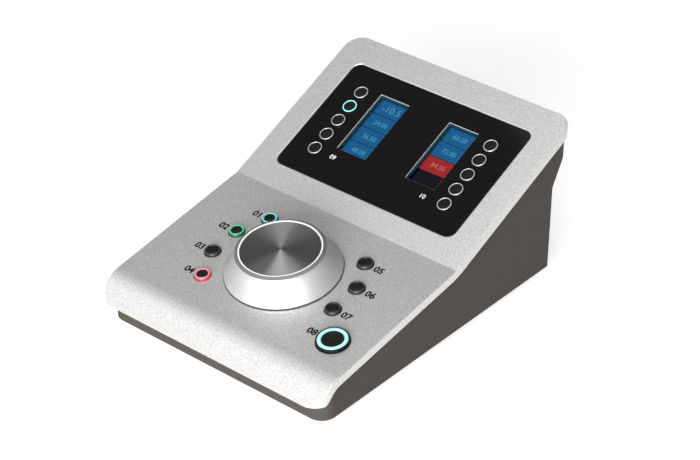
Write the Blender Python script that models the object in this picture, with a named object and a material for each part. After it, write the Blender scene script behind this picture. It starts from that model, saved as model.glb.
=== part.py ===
"""Desktop studio monitor controller: a bent silver cover on a dark wedge base.

The origin is on the surface that the feet stand on, below the middle of the cover.
+X is to the right, +Y to the back and +Z up. All sizes are in metres.
"""

import math

import bmesh
import bpy
from mathutils import Matrix, Vector

# Driving sizes of the whole case
cover_width = 0.1512
cover_height = 0.090
lower_panel_depth = 0.1085
front_height = 0.0253
upper_slope = math.radians(24.6)

# Clearances
clearance = 0.0003
overrun = 0.004
sink = 0.0005
weld_distance = 0.000002

# Bent cover plate
edge_thickness = 0.0055
cover_wall = 0.0022
corner_radius = 0.010
nose_radius = 0.0165
nose_slope = math.radians(47.5)
lip_drop = 0.0102
lip_inner_radius = 0.0025
crease_radius = 0.003
underside_crease_radius = 0.040
edge_bevel = 0.0006
pocket_gap = 0.003
cover_boss_radius = 0.003
cover_boss_inset = 0.005
cover_boss_back = 0.014
cover_boss_front = 0.0124

# Dark base with walls of sheet, stepped in at its back
base_side_inset = 0.0022
base_front_inset = 0.0073
base_wall = 0.0025
base_corner_radius = 0.0085
base_back_overhang = 0.0001
base_step_depth = 0.0131
base_step_length = 0.014
base_step_drop = 0.023
base_boss_radius = 0.0042
base_boss_cap = 0.004
base_web_half = 0.0028
base_boss_inset = 0.0075
base_boss_front = 0.0105
base_boss_back = 0.0110

# Feet, bottom plate and its screws
foot_height = 0.003
foot_radius = 0.0075
foot_taper = 0.0008
foot_inset = 0.020
foot_front = 0.028
foot_back = 0.030
plate_thickness = 0.0015
plate_back_radius = 0.001
screw_radius = 0.0014
screw_length = 0.0095
screw_head_radius = 0.0028
screw_head_height = 0.0016
screw_slot_radius = 0.0012
screw_slot_depth = 0.0008

# Display lens and what lies behind it
lens_length = 0.0770
lens_side_margin = 0.0150
lens_front_margin = 0.0155
lens_back_margin = 0.0179
lens_thickness = 0.0022
lens_corner_radius = 0.0048
lens_ledge = 0.0035
window_width = 0.0197
window_length = 0.0414
window_place_shares = (0.390, 0.562)
display_overlap = 0.002
display_frame = 0.0015
display_glass_depth = 0.0015
mic_place_shares = (0.752, 0.103)
mic_hole_radius = 0.0006
mic_radius = 0.003

# Keys beside the displays
key_rows = 5
key_radius = 0.00405
key_ring_width = 0.0007
key_groove_depth = 0.0003
key_place_shares = (0.734, 0.777)
key_pitch_share = 0.1393
key_height = 0.0009
key_travel = 0.0005
lit_key = "left_key_2"
key_stem_radius = 0.0020

# Buttons round the knob
button_circle_radius = 0.0423
button_step = math.radians(26.0)
button_radius = 0.0029
ring_radius = 0.0044
ring_height = 0.0017
ring_edge = 0.0004
button_dish = 0.0003
button_travel = 0.0006

# Large talk button at the front right corner
talk_side_margin = 0.0193
talk_front_margin = 0.0348
talk_bezel_radius = 0.0088
talk_bezel_wall = 0.0006
talk_bezel_height = 0.0019
talk_ring_width = 0.0018
talk_ring_height = 0.0021
talk_travel = 0.0008

# Turned knob
knob_place_share = 0.434
knob_skirt_radius = 0.0313
knob_lift = 0.0006
knob_skirt_edge = 0.0009
knob_shoulder_radius = 0.0241
knob_shoulder_height = 0.0138
knob_chamfer_height = 0.0009
knob_rim_radius = 0.0221
knob_rim_width = 0.0008
knob_disc_recess = 0.0013
knob_disc_thickness = 0.0007
knob_flare_share = 1.6
knob_wall = 0.0022
knob_hub_radius = 0.006
knob_hub_lift = 0.0042

# Encoder under the knob
encoder_width = 0.0130
encoder_bushing_radius = 0.0045
encoder_bushing_height = 0.0030
encoder_bore_depth = 0.0060
shaft_radius = 0.003
shaft_flat = 0.0008
nut_width = 0.0125
nut_thickness = 0.0020

# Circuit boards
board_thickness = 0.0016
control_board_gap = 0.0005
control_board_side_gap = 0.0055
control_board_front_margin = 0.020
control_board_back = 0.008
display_board_inset = 0.0015
main_board_side_gap = 0.0155
main_board_length = 0.066
main_board_back_gap = 0.004
board_corner_radius = 0.002
board_screw_radius = 0.0012
board_screw_length = 0.0026
board_screw_head_radius = 0.0024
board_screw_head_height = 0.0012
post_radius = 0.0028
post_height = 0.0042
post_inset = 0.006
switch_width = 0.0040
switch_height = 0.0015
header_width = 0.024
header_length = 0.005
header_height = 0.0030

# Flat cables between the boards
ribbon_width = 0.020
ribbon_thickness = 0.0006
ribbon_reach = 0.014
control_header_place = -0.022
display_header_share = 0.475
control_ribbon_inset = 0.0174
display_ribbon_inset = 0.0284

# Sockets in the back wall
network_width = 0.0160
network_height = 0.0135
network_length = 0.0210
network_across = 0.020
network_socket_width = 0.0118
network_socket_height = 0.0070
network_socket_lift = 0.0022
network_latch_width = 0.0062
network_latch_height = 0.0022
network_socket_depth = 0.0130
power_width = 0.0090
power_height = 0.0110
power_length = 0.0140
power_side_margin = 0.011
power_bore_radius = 0.0032
power_bore_depth = 0.0090
power_pin_radius = 0.0010
power_pin_setback = 0.0010

# Facets of round forms
corner_steps = 6
nose_steps = 10
lip_steps = 3
crease_steps = 3
knob_segments = 48
button_segments = 20
key_segments = 16
talk_segments = 32
screw_segments = 12
foot_segments = 24
flare_steps = 6
ribbon_steps = 10
bevel_segments = 2
hexagon_sides = 6
nut_bore_segments = 24
full_turn = 2 * math.pi
quarter_turn = math.pi / 2

# Places of the cover: both panels meet at the crease, and the lower slope follows
upper_panel_length = lens_front_margin + lens_length + lens_back_margin
cover_depth = lower_panel_depth + upper_panel_length * math.cos(upper_slope)
back_y = cover_depth / 2
front_y = -cover_depth / 2
crease_y = front_y + lower_panel_depth
crease_z = cover_height - upper_panel_length * math.sin(upper_slope)
lower_slope = math.atan2(crease_z - front_height, lower_panel_depth)
lower_panel_length = lower_panel_depth / math.cos(lower_slope)
lip_height = front_height - lip_drop

# Places of the base and the bottom plate
base_width = cover_width - 2 * base_side_inset
base_front_y = front_y + base_front_inset
base_back_y = back_y - base_back_overhang
base_lower_back_y = base_back_y - base_step_depth
base_inner_half = base_width / 2 - base_wall
base_step_top = cover_height - base_step_drop
base_step_bottom = base_step_top - base_step_length
base_boss_height = foot_height + screw_length + base_boss_cap
plate_bottom_z = foot_height + clearance
plate_top_z = plate_bottom_z + plate_thickness
screw_places = [
    (side * (base_inner_half - base_boss_inset), y)
    for side in (-1, 1)
    for y in (base_front_y + base_boss_front, base_lower_back_y - base_boss_back)
]

# Places on the lens
lens_width = cover_width - 2 * lens_side_margin
lens_start = lens_front_margin
window_across = window_place_shares[0] * lens_width / 2
window_middle = lens_start + window_place_shares[1] * lens_length
display_width = window_width + 2 * display_overlap
display_length = window_length + 2 * display_overlap
mic_across = mic_place_shares[0] * lens_width / 2
mic_place = lens_start + mic_place_shares[1] * lens_length
key_across = key_place_shares[0] * lens_width / 2
key_back = lens_start + key_place_shares[1] * lens_length
key_pitch = key_pitch_share * lens_length
display_header_place = lens_start + display_header_share * lens_length
board_top_depth = edge_thickness + clearance

# Places on the lower panel
knob_place = -knob_place_share * lower_panel_length
talk_across = cover_width / 2 - talk_side_margin
talk_place = talk_front_margin - lower_panel_length
control_board_depth = edge_thickness + control_board_gap
control_board_width = 2 * (base_inner_half - control_board_side_gap)
control_board_front = lower_panel_length - control_board_front_margin
board_screw_places = [
    (side * (control_board_width / 2 - cover_boss_inset), place)
    for side in (-1, 1)
    for place in (-cover_boss_back, talk_place + cover_boss_front)
]

# Places on the main board
main_board_width = 2 * (base_inner_half - main_board_side_gap)
main_board_back = base_lower_back_y - base_wall - main_board_back_gap
main_board_front = main_board_back - main_board_length
control_ribbon_start = main_board_front + control_ribbon_inset
display_ribbon_start = main_board_front + display_ribbon_inset
power_across = main_board_width / 2 - power_side_margin
post_places = [
    (side * (main_board_width / 2 - post_inset), y)
    for side in (-1, 1)
    for y in (main_board_back - post_inset, main_board_front + post_inset)
]


# Materials

def make_material(name, colour, roughness, metallic=0.0):
    """Return a Principled material of one colour."""
    material = bpy.data.materials.new(name)
    material.use_nodes = True
    shader = material.node_tree.nodes["Principled BSDF"]
    shader.inputs["Base Color"].default_value = (*colour, 1.0)
    shader.inputs["Roughness"].default_value = roughness
    shader.inputs["Metallic"].default_value = metallic
    material.diffuse_color = (*colour, 1.0)
    return material


# Objects and their shapes

def add_object(name, mesh, material=None, parent=None, place=(0, 0, 0)):
    """Put a mesh in the scene as one object, under a parent frame when it has one."""
    obj = bpy.data.objects.new(name, mesh)
    bpy.context.scene.collection.objects.link(obj)
    obj.location = place
    if parent is not None:
        obj.parent = parent
    if material is not None:
        mesh.materials.clear()
        mesh.materials.append(material)
    return obj


def add_frame(name, place, slope):
    """Add an empty whose X and Y axes lie in a panel of the given slope."""
    empty = bpy.data.objects.new(name, None)
    bpy.context.scene.collection.objects.link(empty)
    empty.location = place
    empty.rotation_euler = (slope, 0, 0)
    return empty


def finish_mesh(name, shape):
    """Close a bmesh into a mesh with faces that point out and smooth round sides."""
    bmesh.ops.remove_doubles(shape, verts=shape.verts, dist=weld_distance)
    bmesh.ops.recalc_face_normals(shape, faces=shape.faces)
    mesh = bpy.data.meshes.new(name)
    shape.to_mesh(mesh)
    shape.free()
    mesh.shade_smooth()
    mesh.set_sharp_from_angle(angle=math.radians(30))
    return mesh


def extrude_points(shape, points, direction):
    """Fill a closed outline of points and extrude it along a direction."""
    face = shape.faces.new([shape.verts.new(point) for point in points])
    extruded = bmesh.ops.extrude_face_region(shape, geom=[face])
    moved = [item for item in extruded["geom"] if isinstance(item, bmesh.types.BMVert)]
    bmesh.ops.translate(shape, verts=moved, vec=direction)


def prism_mesh(name, outlines, bottom, top):
    """Extrude outlines in the XY plane from bottom to top."""
    shape = bmesh.new()
    for outline in outlines:
        extrude_points(shape, [(x, y, bottom) for x, y in outline], Vector((0, 0, top - bottom)))
    return finish_mesh(name, shape)


def side_mesh(name, outline, half_width, middle=0):
    """Extrude an outline in the YZ plane to both sides of the middle."""
    shape = bmesh.new()
    points = [(middle - half_width, y, z) for y, z in outline]
    extrude_points(shape, points, Vector((2 * half_width, 0, 0)))
    return finish_mesh(name, shape)


def front_mesh(name, outline, front, back):
    """Extrude an outline in the XZ plane from its front to its back."""
    shape = bmesh.new()
    extrude_points(shape, [(x, front, z) for x, z in outline], Vector((0, back - front, 0)))
    return finish_mesh(name, shape)


def turned_mesh(name, profile, segments, places=((0, 0),)):
    """Spin a closed profile of (radius, height) round the Z axis at each place."""
    shape = bmesh.new()
    for across, along in places:
        verts = [shape.verts.new((across + radius, along, height)) for radius, height in profile]
        edges = [shape.edges.new((start, end)) for start, end in zip(verts, verts[1:] + verts[:1])]
        bmesh.ops.spin(
            shape,
            geom=verts + edges,
            cent=(across, along, 0),
            axis=(0, 0, 1),
            angle=full_turn,
            steps=segments,
            use_merge=True,
        )
    return finish_mesh(name, shape)


def box_outline(low_x, low_y, high_x, high_y):
    """Return the four corners of a rectangle."""
    return [(low_x, low_y), (high_x, low_y), (high_x, high_y), (low_x, high_y)]


def arc(centre, radius, start, end, steps):
    """Return points on an arc from one angle to another."""
    return [
        (
            centre[0] + radius * math.cos(start + (end - start) * step / steps),
            centre[1] + radius * math.sin(start + (end - start) * step / steps),
        )
        for step in range(steps + 1)
    ]


def rounded_outline(half_width, low, high, radius, back_radius=None):
    """Return a rectangle with four round corners, centred on X; the back two can differ."""
    back = radius if back_radius is None else back_radius
    corners = [
        (half_width - back, high - back, back),
        (back - half_width, high - back, back),
        (radius - half_width, low + radius, radius),
        (half_width - radius, low + radius, radius),
    ]
    points = []
    for turn, (x, y, corner) in enumerate(corners):
        points += arc((x, y), corner, turn * quarter_turn, (turn + 1) * quarter_turn, corner_steps)
    return points


def post_profile(radius, bottom, top):
    """Return the profile of a plain round post."""
    return [(0, bottom), (radius, bottom), (radius, top), (0, top)]


def circle_outline(radius, segments, centre=(0, 0), start=0):
    """Return points round a circle."""
    return arc(centre, radius, start, start + full_turn, segments)[:-1]


def boolean(obj, tool, operation):
    """Change an object by a tool that is left out of the model itself."""
    modifier = obj.modifiers.new(tool.name, "BOOLEAN")
    modifier.operation = operation
    modifier.object = tool
    modifier.solver = "EXACT"
    tool.hide_render = True
    tool.display_type = "WIRE"


def bevel(obj, width, segments=bevel_segments):
    """Break the sharp edges of an object."""
    modifier = obj.modifiers.new("edge", "BEVEL")
    modifier.width = width
    modifier.segments = segments
    modifier.limit_method = "ANGLE"
    modifier.angle_limit = math.radians(40)


# Side curve that the cover and the base share

def panel_point(slope, along, depth):
    """Return (y, z) of a point along a panel from the crease and below its outer face."""
    return (
        crease_y + along * math.cos(slope) + depth * math.sin(slope),
        crease_z + along * math.sin(slope) - depth * math.cos(slope),
    )


def crease_curve(depth, radius):
    """Return the rounded bend between the panels, from the upper one to the lower one."""
    half_turn = (upper_slope - lower_slope) / 2
    middle_slope = (upper_slope + lower_slope) / 2
    y, z = panel_point(middle_slope, 0, depth / math.cos(half_turn))
    reach = radius / math.cos(half_turn)
    centre = (y - reach * math.sin(middle_slope), z + reach * math.cos(middle_slope))
    return arc(centre, radius, upper_slope - quarter_turn, lower_slope - quarter_turn, crease_steps)


def nose_centre():
    """Return the centre of the nose's bend, which touches the lower panel and the nose's slope."""
    y, z = panel_point(lower_slope, 0, nose_radius)
    below = (y - front_y) * math.sin(nose_slope) - (z - lip_height) * math.cos(nose_slope)
    along = (nose_radius - below) / math.sin(nose_slope - lower_slope)
    return panel_point(lower_slope, along, nose_radius)


def nose_slope_y(depth, height):
    """Return where the nose's slope, at a depth below its outer face, reaches a height."""
    drop = depth / math.cos(nose_slope)
    return front_y + (height - lip_height + drop) / math.tan(nose_slope)


def nose_curve(depth, bottom):
    """Return the nose's bend at a depth below the outer face, and its slope down to a height."""
    start = quarter_turn + lower_slope
    bend = arc(nose_centre(), nose_radius - depth, start, quarter_turn + nose_slope, nose_steps)
    return bend + [(nose_slope_y(depth, bottom), bottom)]


def lip_curve():
    """Return the round between the nose's inner face and the lip's flat edge."""
    height = lip_height + lip_inner_radius
    centre = (nose_slope_y(edge_thickness - lip_inner_radius, height), height)
    return arc(centre, lip_inner_radius, nose_slope - quarter_turn, -quarter_turn, lip_steps)


def cover_curve(depth, radius, bottom):
    """Return the side curve at a depth, from the back edge over the crease to the lip."""
    back = panel_point(upper_slope, upper_panel_length + overrun, depth)
    return [back] + crease_curve(depth, radius) + nose_curve(depth, bottom)


# Cover

def make_cover_plate(material):
    """Bend the plate along its side curve and round its four corners in plan."""
    outer = cover_curve(0, crease_radius, lip_height)
    inner = cover_curve(edge_thickness, underside_crease_radius, lip_height)[:-1] + lip_curve()
    mesh = side_mesh("top_cover", outer + inner[::-1], cover_width / 2 + overrun)
    cover = add_object("top_cover", mesh, material)
    outline = rounded_outline(cover_width / 2, front_y, back_y, corner_radius)
    plan = add_object("cover_plan", prism_mesh("cover_plan", [outline], 0, cover_height + overrun))
    boolean(cover, plan, "INTERSECT")
    bevel(cover, edge_bevel)
    return cover


def cut_cover(cover, lower_panel, upper_panel):
    """Cut the lens seat, the opening behind it, the inner pocket and the round holes."""
    half = lens_width / 2 + clearance
    low = lens_start - clearance
    high = lens_start + lens_length + clearance
    seat = rounded_outline(half, low, high, lens_corner_radius + clearance)
    seat_mesh = prism_mesh("lens_seat", [seat], -lens_thickness - clearance, overrun)
    boolean(cover, add_object("lens_seat", seat_mesh, parent=upper_panel), "DIFFERENCE")
    inner = rounded_outline(
        lens_width / 2 - lens_ledge,
        lens_start + lens_ledge,
        lens_start + lens_length - lens_ledge,
        lens_corner_radius,
    )
    opening_mesh = prism_mesh("lens_opening", [inner], -edge_thickness - overrun, overrun)
    boolean(cover, add_object("lens_opening", opening_mesh, parent=upper_panel), "DIFFERENCE")
    half = control_board_width / 2 + pocket_gap
    low = -control_board_front - pocket_gap
    high = -control_board_back + pocket_gap
    pocket = rounded_outline(half, low, high, board_corner_radius + pocket_gap)
    pocket_mesh = prism_mesh("cover_pocket", [pocket], -edge_thickness - overrun, -cover_wall)
    boolean(cover, add_object("cover_pocket", pocket_mesh, parent=lower_panel), "DIFFERENCE")
    boss_profile = post_profile(cover_boss_radius, clearance - control_board_depth, sink - cover_wall)
    boss_mesh = turned_mesh("cover_bosses", boss_profile, screw_segments, board_screw_places)
    boolean(cover, add_object("cover_bosses", boss_mesh, parent=lower_panel), "UNION")
    ring_hole = ring_radius + clearance
    holes = [circle_outline(ring_hole, button_segments, place) for place in button_places()]
    holes.append(circle_outline(talk_bezel_radius + clearance, talk_segments, (talk_across, talk_place)))
    holes.append(circle_outline(encoder_bushing_radius + clearance, button_segments, (0, knob_place)))
    hole_mesh = prism_mesh("button_holes", holes, -cover_wall - overrun / 2, overrun)
    boolean(cover, add_object("button_holes", hole_mesh, parent=lower_panel), "DIFFERENCE")
    screw_hole = board_screw_radius + clearance
    screw_holes = [circle_outline(screw_hole, screw_segments, place) for place in board_screw_places]
    screw_hole_mesh = prism_mesh(
        "cover_screw_holes",
        screw_holes,
        -control_board_depth - overrun,
        -control_board_depth + board_screw_length,
    )
    boolean(cover, add_object("cover_screw_holes", screw_hole_mesh, parent=lower_panel), "DIFFERENCE")


# Base

def base_outline(inset, bottom, depth):
    """Return the base's side outline, set in by a wall on the front and the back."""
    step_turn = math.atan2(base_step_depth, base_step_top - base_step_bottom)
    lift = inset * math.tan(step_turn / 2)
    front = base_front_y + inset
    lower_back = base_lower_back_y - inset
    upper_back = base_back_y - inset
    top = cover_curve(depth, underside_crease_radius, lip_height)
    rise = (front - nose_slope_y(depth, lip_height)) * math.tan(nose_slope)
    upper_along = (upper_back - panel_point(upper_slope, 0, depth)[0]) / math.cos(upper_slope)
    points = [(front, bottom), (lower_back, bottom), (lower_back, base_step_bottom + lift)]
    points += [(upper_back, base_step_top + lift), panel_point(upper_slope, upper_along, depth)]
    points += [point for point in top[1:] if point[0] > front + sink]
    points.append((front, lip_height + rise))
    return points


def make_base(material):
    """Make the wedge of four walls, open at its top and its bottom."""
    outline = base_outline(0, foot_height, edge_thickness + clearance)
    mesh = side_mesh("base_housing", outline, base_width / 2 + overrun)
    base = add_object("base_housing", mesh, material)
    plan_outline = rounded_outline(base_width / 2, base_front_y, base_back_y, base_corner_radius)
    plan = add_object("base_plan", prism_mesh("base_plan", [plan_outline], 0, cover_height + overrun))
    boolean(base, plan, "INTERSECT")
    cavity_outline = base_outline(base_wall, 0, edge_thickness - overrun)
    cavity = add_object("base_cavity", side_mesh("base_cavity", cavity_outline, base_inner_half + overrun))
    low = base_front_y + base_wall
    high = base_back_y - base_wall
    inner_outline = rounded_outline(base_inner_half, low, high, base_corner_radius - base_wall)
    inner_mesh = prism_mesh("base_inner", [inner_outline], -overrun, cover_height + overrun)
    inner_plan = add_object("base_inner", inner_mesh)
    boolean(cavity, inner_plan, "INTERSECT")
    boolean(base, cavity, "DIFFERENCE")
    return base


def add_base_bosses(base):
    """Add the four screw bosses with their webs to the side walls, and drill them."""
    shape = bmesh.new()
    low = plate_top_z + clearance
    for x, y in screw_places:
        side = math.copysign(1, x)
        outer = side * (base_inner_half + base_wall / 4)
        web = box_outline(min(x, outer), y - base_web_half, max(x, outer), y + base_web_half)
        extrude_points(shape, [(px, py, low) for px, py in web], Vector((0, 0, base_boss_height - low)))
    webs = add_object("boss_webs", finish_mesh("boss_webs", shape))
    boolean(base, webs, "UNION")
    profile = post_profile(base_boss_radius, low, base_boss_height)
    bosses = add_object("base_bosses", turned_mesh("base_bosses", profile, foot_segments, screw_places))
    boolean(base, bosses, "UNION")
    holes = [circle_outline(screw_radius + clearance, screw_segments, place) for place in screw_places]
    depth = foot_height + screw_length + clearance
    drills = add_object("boss_drills", prism_mesh("boss_drills", holes, 0, depth))
    boolean(base, drills, "DIFFERENCE")


def cut_back_wall(base):
    """Cut the two windows that the sockets pass through."""
    floor = board_top() + clearance
    windows = [
        socket_box(network_across, network_width, floor, network_height, clearance),
        socket_box(-power_across, power_width, floor, power_height, clearance),
    ]
    shape = bmesh.new()
    for window in windows:
        front = base_lower_back_y - base_wall - overrun
        points = [(x, front, z) for x, z in window]
        extrude_points(shape, points, Vector((0, base_wall + 2 * overrun, 0)))
    boolean(base, add_object("socket_windows", finish_mesh("socket_windows", shape)), "DIFFERENCE")


def make_bottom_plate(material):
    """Make the plate that closes the base, with four posts for the main board."""
    half = base_inner_half - clearance
    low = base_front_y + base_wall + clearance
    high = base_lower_back_y - base_wall - clearance
    front_radius = base_corner_radius - base_wall
    outline = rounded_outline(half, low, high, front_radius, plate_back_radius)
    mesh = prism_mesh("bottom_plate", [outline], plate_bottom_z, plate_top_z)
    plate = add_object("bottom_plate", mesh, material)
    profile = post_profile(post_radius, plate_bottom_z + sink, plate_top_z + post_height)
    posts = add_object("plate_posts", turned_mesh("plate_posts", profile, screw_segments, post_places))
    boolean(plate, posts, "UNION")
    holes = [circle_outline(screw_radius + clearance, screw_segments, place) for place in screw_places]
    drill_mesh = prism_mesh("plate_drills", holes, 0, plate_top_z + clearance / 2)
    drills = add_object("plate_drills", drill_mesh)
    boolean(plate, drills, "DIFFERENCE")


def make_feet(material):
    """Place four round rubber feet under the plate."""
    profile = [
        (0, 0),
        (foot_radius - foot_taper, 0),
        (foot_radius, foot_taper),
        (foot_radius, foot_height),
        (0, foot_height),
    ]
    mesh = turned_mesh("rubber_foot", profile, foot_segments)
    names = ("front_left", "back_left", "front_right", "back_right")
    ends = (base_front_y + foot_front, base_lower_back_y - foot_back)
    across = base_width / 2 - foot_inset
    places = [(side * across, y, 0) for side in (-1, 1) for y in ends]
    for name, place in zip(names, places):
        add_object(f"foot_{name}", mesh, material, place=place)


def screw_profile(radius, length, head_radius, head_height):
    """Return a pan head screw that points up, with its head's seat at height zero."""
    return [
        (0, -head_height + screw_slot_depth),
        (screw_slot_radius, -head_height + screw_slot_depth),
        (screw_slot_radius, -head_height),
        (head_radius - head_height / 2, -head_height),
        (head_radius, -head_height / 2),
        (head_radius, 0),
        (radius, 0),
        (radius, length),
        (0, length),
    ]


def make_base_screws(material):
    """Place the four screws that hold the plate to the base."""
    profile = screw_profile(screw_radius, screw_length, screw_head_radius, screw_head_height)
    mesh = turned_mesh("base_screw", profile, screw_segments)
    names = ("front_left", "back_left", "front_right", "back_right")
    for name, (x, y) in zip(names, screw_places):
        add_object(f"base_screw_{name}", mesh, material, place=(x, y, foot_height))


# Display group

def make_lens(material, upper_panel):
    """Make the glossy plate with its two windows, ten key holes and one pinhole."""
    high = lens_start + lens_length
    outline = rounded_outline(lens_width / 2, lens_start, high, lens_corner_radius)
    mesh = prism_mesh("display_lens", [outline], -lens_thickness, 0)
    lens = add_object("display_lens", mesh, material, upper_panel)
    half = window_width / 2
    low = window_middle - window_length / 2
    cuts = [
        box_outline(middle - half, low, middle + half, low + window_length)
        for middle in (-window_across, window_across)
    ]
    for place in key_places():
        cuts.append(circle_outline(key_radius + clearance, button_segments, place))
    cuts.append(circle_outline(mic_hole_radius, screw_segments, (-mic_across, mic_place)))
    cut_mesh = prism_mesh("lens_cuts", cuts, -lens_thickness - overrun, overrun)
    boolean(lens, add_object("lens_cuts", cut_mesh, parent=upper_panel), "DIFFERENCE")


def make_display(name, middle, material, upper_panel):
    """Make a display module whose glass lies below a raised frame."""
    half_length = display_length / 2
    bottom = -board_top_depth + clearance
    top = -lens_thickness - clearance
    body = box_outline(
        middle - display_width / 2,
        window_middle - half_length,
        middle + display_width / 2,
        window_middle + half_length,
    )
    glass = box_outline(
        middle - display_width / 2 + display_frame,
        window_middle - half_length + display_frame,
        middle + display_width / 2 - display_frame,
        window_middle + half_length - display_frame,
    )
    module = add_object(name, prism_mesh(name, [body], bottom, top), material, upper_panel)
    cut = prism_mesh(name + "_glass", [glass], top - display_glass_depth, top + overrun)
    boolean(module, add_object(name + "_glass", cut, parent=upper_panel), "DIFFERENCE")


def make_microphone(material, upper_panel):
    """Make the microphone capsule behind the lens's pinhole."""
    bottom = -board_top_depth + clearance
    top = -lens_thickness - clearance
    mesh = turned_mesh("microphone", post_profile(mic_radius, bottom, top), button_segments)
    add_object("microphone", mesh, material, upper_panel, (-mic_across, mic_place, 0))


def key_places():
    """Return the ten key places, the left column and then the right one, from the back."""
    columns = (-key_across, key_across)
    return [(across, key_back - row * key_pitch) for across in columns for row in range(key_rows)]


def make_keys(dark_material, lit_material, upper_panel):
    """Place the ten keys, each with a rim round a domed cap and a stem to its switch."""
    inner = key_radius - key_ring_width
    bottom = -board_top_depth + switch_height + key_travel + clearance
    profile = [
        (0, bottom),
        (key_stem_radius, bottom),
        (key_stem_radius, -lens_thickness),
        (key_radius, -lens_thickness),
        (key_radius, key_height - key_groove_depth),
        (key_radius - key_groove_depth, key_height),
        (inner, key_height),
        (inner - key_groove_depth, key_height - key_groove_depth),
        (0, key_height),
    ]
    names = [f"{side}_key_{row + 1}" for side in ("left", "right") for row in range(key_rows)]
    for name, (x, y) in zip(names, key_places()):
        material = lit_material if name == lit_key else dark_material
        add_object(name, turned_mesh(name, profile, key_segments), material, upper_panel, (x, y, 0))


# Control group

def button_angles():
    """Return the angles of the four left buttons and the three right ones, from the back."""
    left = [math.pi - button_step * (1.5 - row) for row in range(4)]
    right = [button_step * (1.5 - row) for row in range(3)]
    return left, right


def button_places():
    """Return the places of the seven buttons on their circle round the knob."""
    left, right = button_angles()
    return [
        (button_circle_radius * math.cos(angle), knob_place + button_circle_radius * math.sin(angle))
        for angle in left + right
    ]


def ring_profile(inner, outer, bottom, top, edge):
    """Return the profile of a tube whose top edge is broken on both sides."""
    return [
        (inner, bottom),
        (outer, bottom),
        (outer, top - edge),
        (outer - edge, top),
        (inner, top),
    ]


def cap_profile(radius, bottom, top, edge, dish):
    """Return the profile of a round cap with a broken edge and a dished top."""
    return [
        (0, bottom),
        (radius, bottom),
        (radius, top - edge),
        (radius - edge, top),
        (0, top - dish),
    ]


def make_buttons(ring_materials, cap_material, lower_panel):
    """Place each button's light ring, which stands on the board, and the cap inside it."""
    board = -control_board_depth + clearance
    ring = ring_profile(button_radius + clearance, ring_radius, board, ring_height, ring_edge)
    bottom = -control_board_depth + switch_height + button_travel + clearance
    cap = cap_profile(button_radius, bottom, ring_height, button_dish, button_dish)
    cap_mesh = turned_mesh("button_cap", cap, button_segments)
    names = [f"left_button_{row + 1}" for row in range(4)] + [f"right_button_{row + 1}" for row in range(3)]
    for name, (x, y), ring_material in zip(names, button_places(), ring_materials):
        add_object(name, cap_mesh, cap_material, lower_panel, (x, y, 0))
        ring_mesh = turned_mesh(name + "_ring", ring, button_segments)
        add_object(name + "_ring", ring_mesh, ring_material, lower_panel, (x, y, 0))


def make_talk_button(bezel_material, ring_material, cap_material, lower_panel):
    """Place the large button: a bezel, the light ring in it and the cap inside that."""
    place = (talk_across, talk_place, 0)
    board = -control_board_depth + clearance
    bezel_inner = talk_bezel_radius - talk_bezel_wall
    bezel = ring_profile(bezel_inner, talk_bezel_radius, board, talk_bezel_height, ring_edge)
    bezel_mesh = turned_mesh("talk_bezel", bezel, talk_segments)
    add_object("talk_bezel", bezel_mesh, bezel_material, lower_panel, place)
    ring_outer = bezel_inner - clearance
    ring_inner = ring_outer - talk_ring_width
    ring = ring_profile(ring_inner, ring_outer, board, talk_ring_height, ring_edge)
    ring_mesh = turned_mesh("talk_ring", ring, talk_segments)
    add_object("talk_ring", ring_mesh, ring_material, lower_panel, place)
    bottom = -control_board_depth + switch_height + talk_travel + clearance
    cap = cap_profile(ring_inner - clearance, bottom, talk_bezel_height, button_dish, button_dish)
    cap_mesh = turned_mesh("talk_button", cap, talk_segments)
    add_object("talk_button", cap_mesh, cap_material, lower_panel, place)


# Knob and its encoder

def flare_points(skirt, shoulder, low, high):
    """Return the hollow curve that sweeps from the skirt's edge up to the shoulder."""
    points = []
    for step in range(flare_steps + 1):
        share = step / flare_steps
        radius = shoulder + (skirt - shoulder) * (1 - share) ** knob_flare_share
        points.append((radius, low + (high - low) * share))
    return points


def knob_profile():
    """Return the turned section of the knob: skirt, flare, rim, recess, hub and hollow."""
    bore = shaft_radius + clearance
    rim_top = knob_shoulder_height + knob_chamfer_height
    floor = rim_top - knob_disc_recess
    ceiling = floor - knob_wall
    skirt_top = knob_lift + knob_skirt_edge
    outer = flare_points(knob_skirt_radius, knob_shoulder_radius, skirt_top, knob_shoulder_height)
    recess = knob_rim_radius - knob_rim_width
    inner = [
        (knob_rim_radius, rim_top),
        (recess, rim_top),
        (recess, floor),
        (bore, floor),
        (bore, knob_hub_lift),
        (knob_hub_radius, knob_hub_lift),
        (knob_hub_radius, ceiling),
        (knob_shoulder_radius - 2 * knob_wall, ceiling),
        (knob_skirt_radius - 2 * knob_wall, knob_lift + knob_wall),
        (knob_skirt_radius - knob_wall, knob_lift),
    ]
    return [(knob_skirt_radius, knob_lift)] + outer + inner


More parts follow.
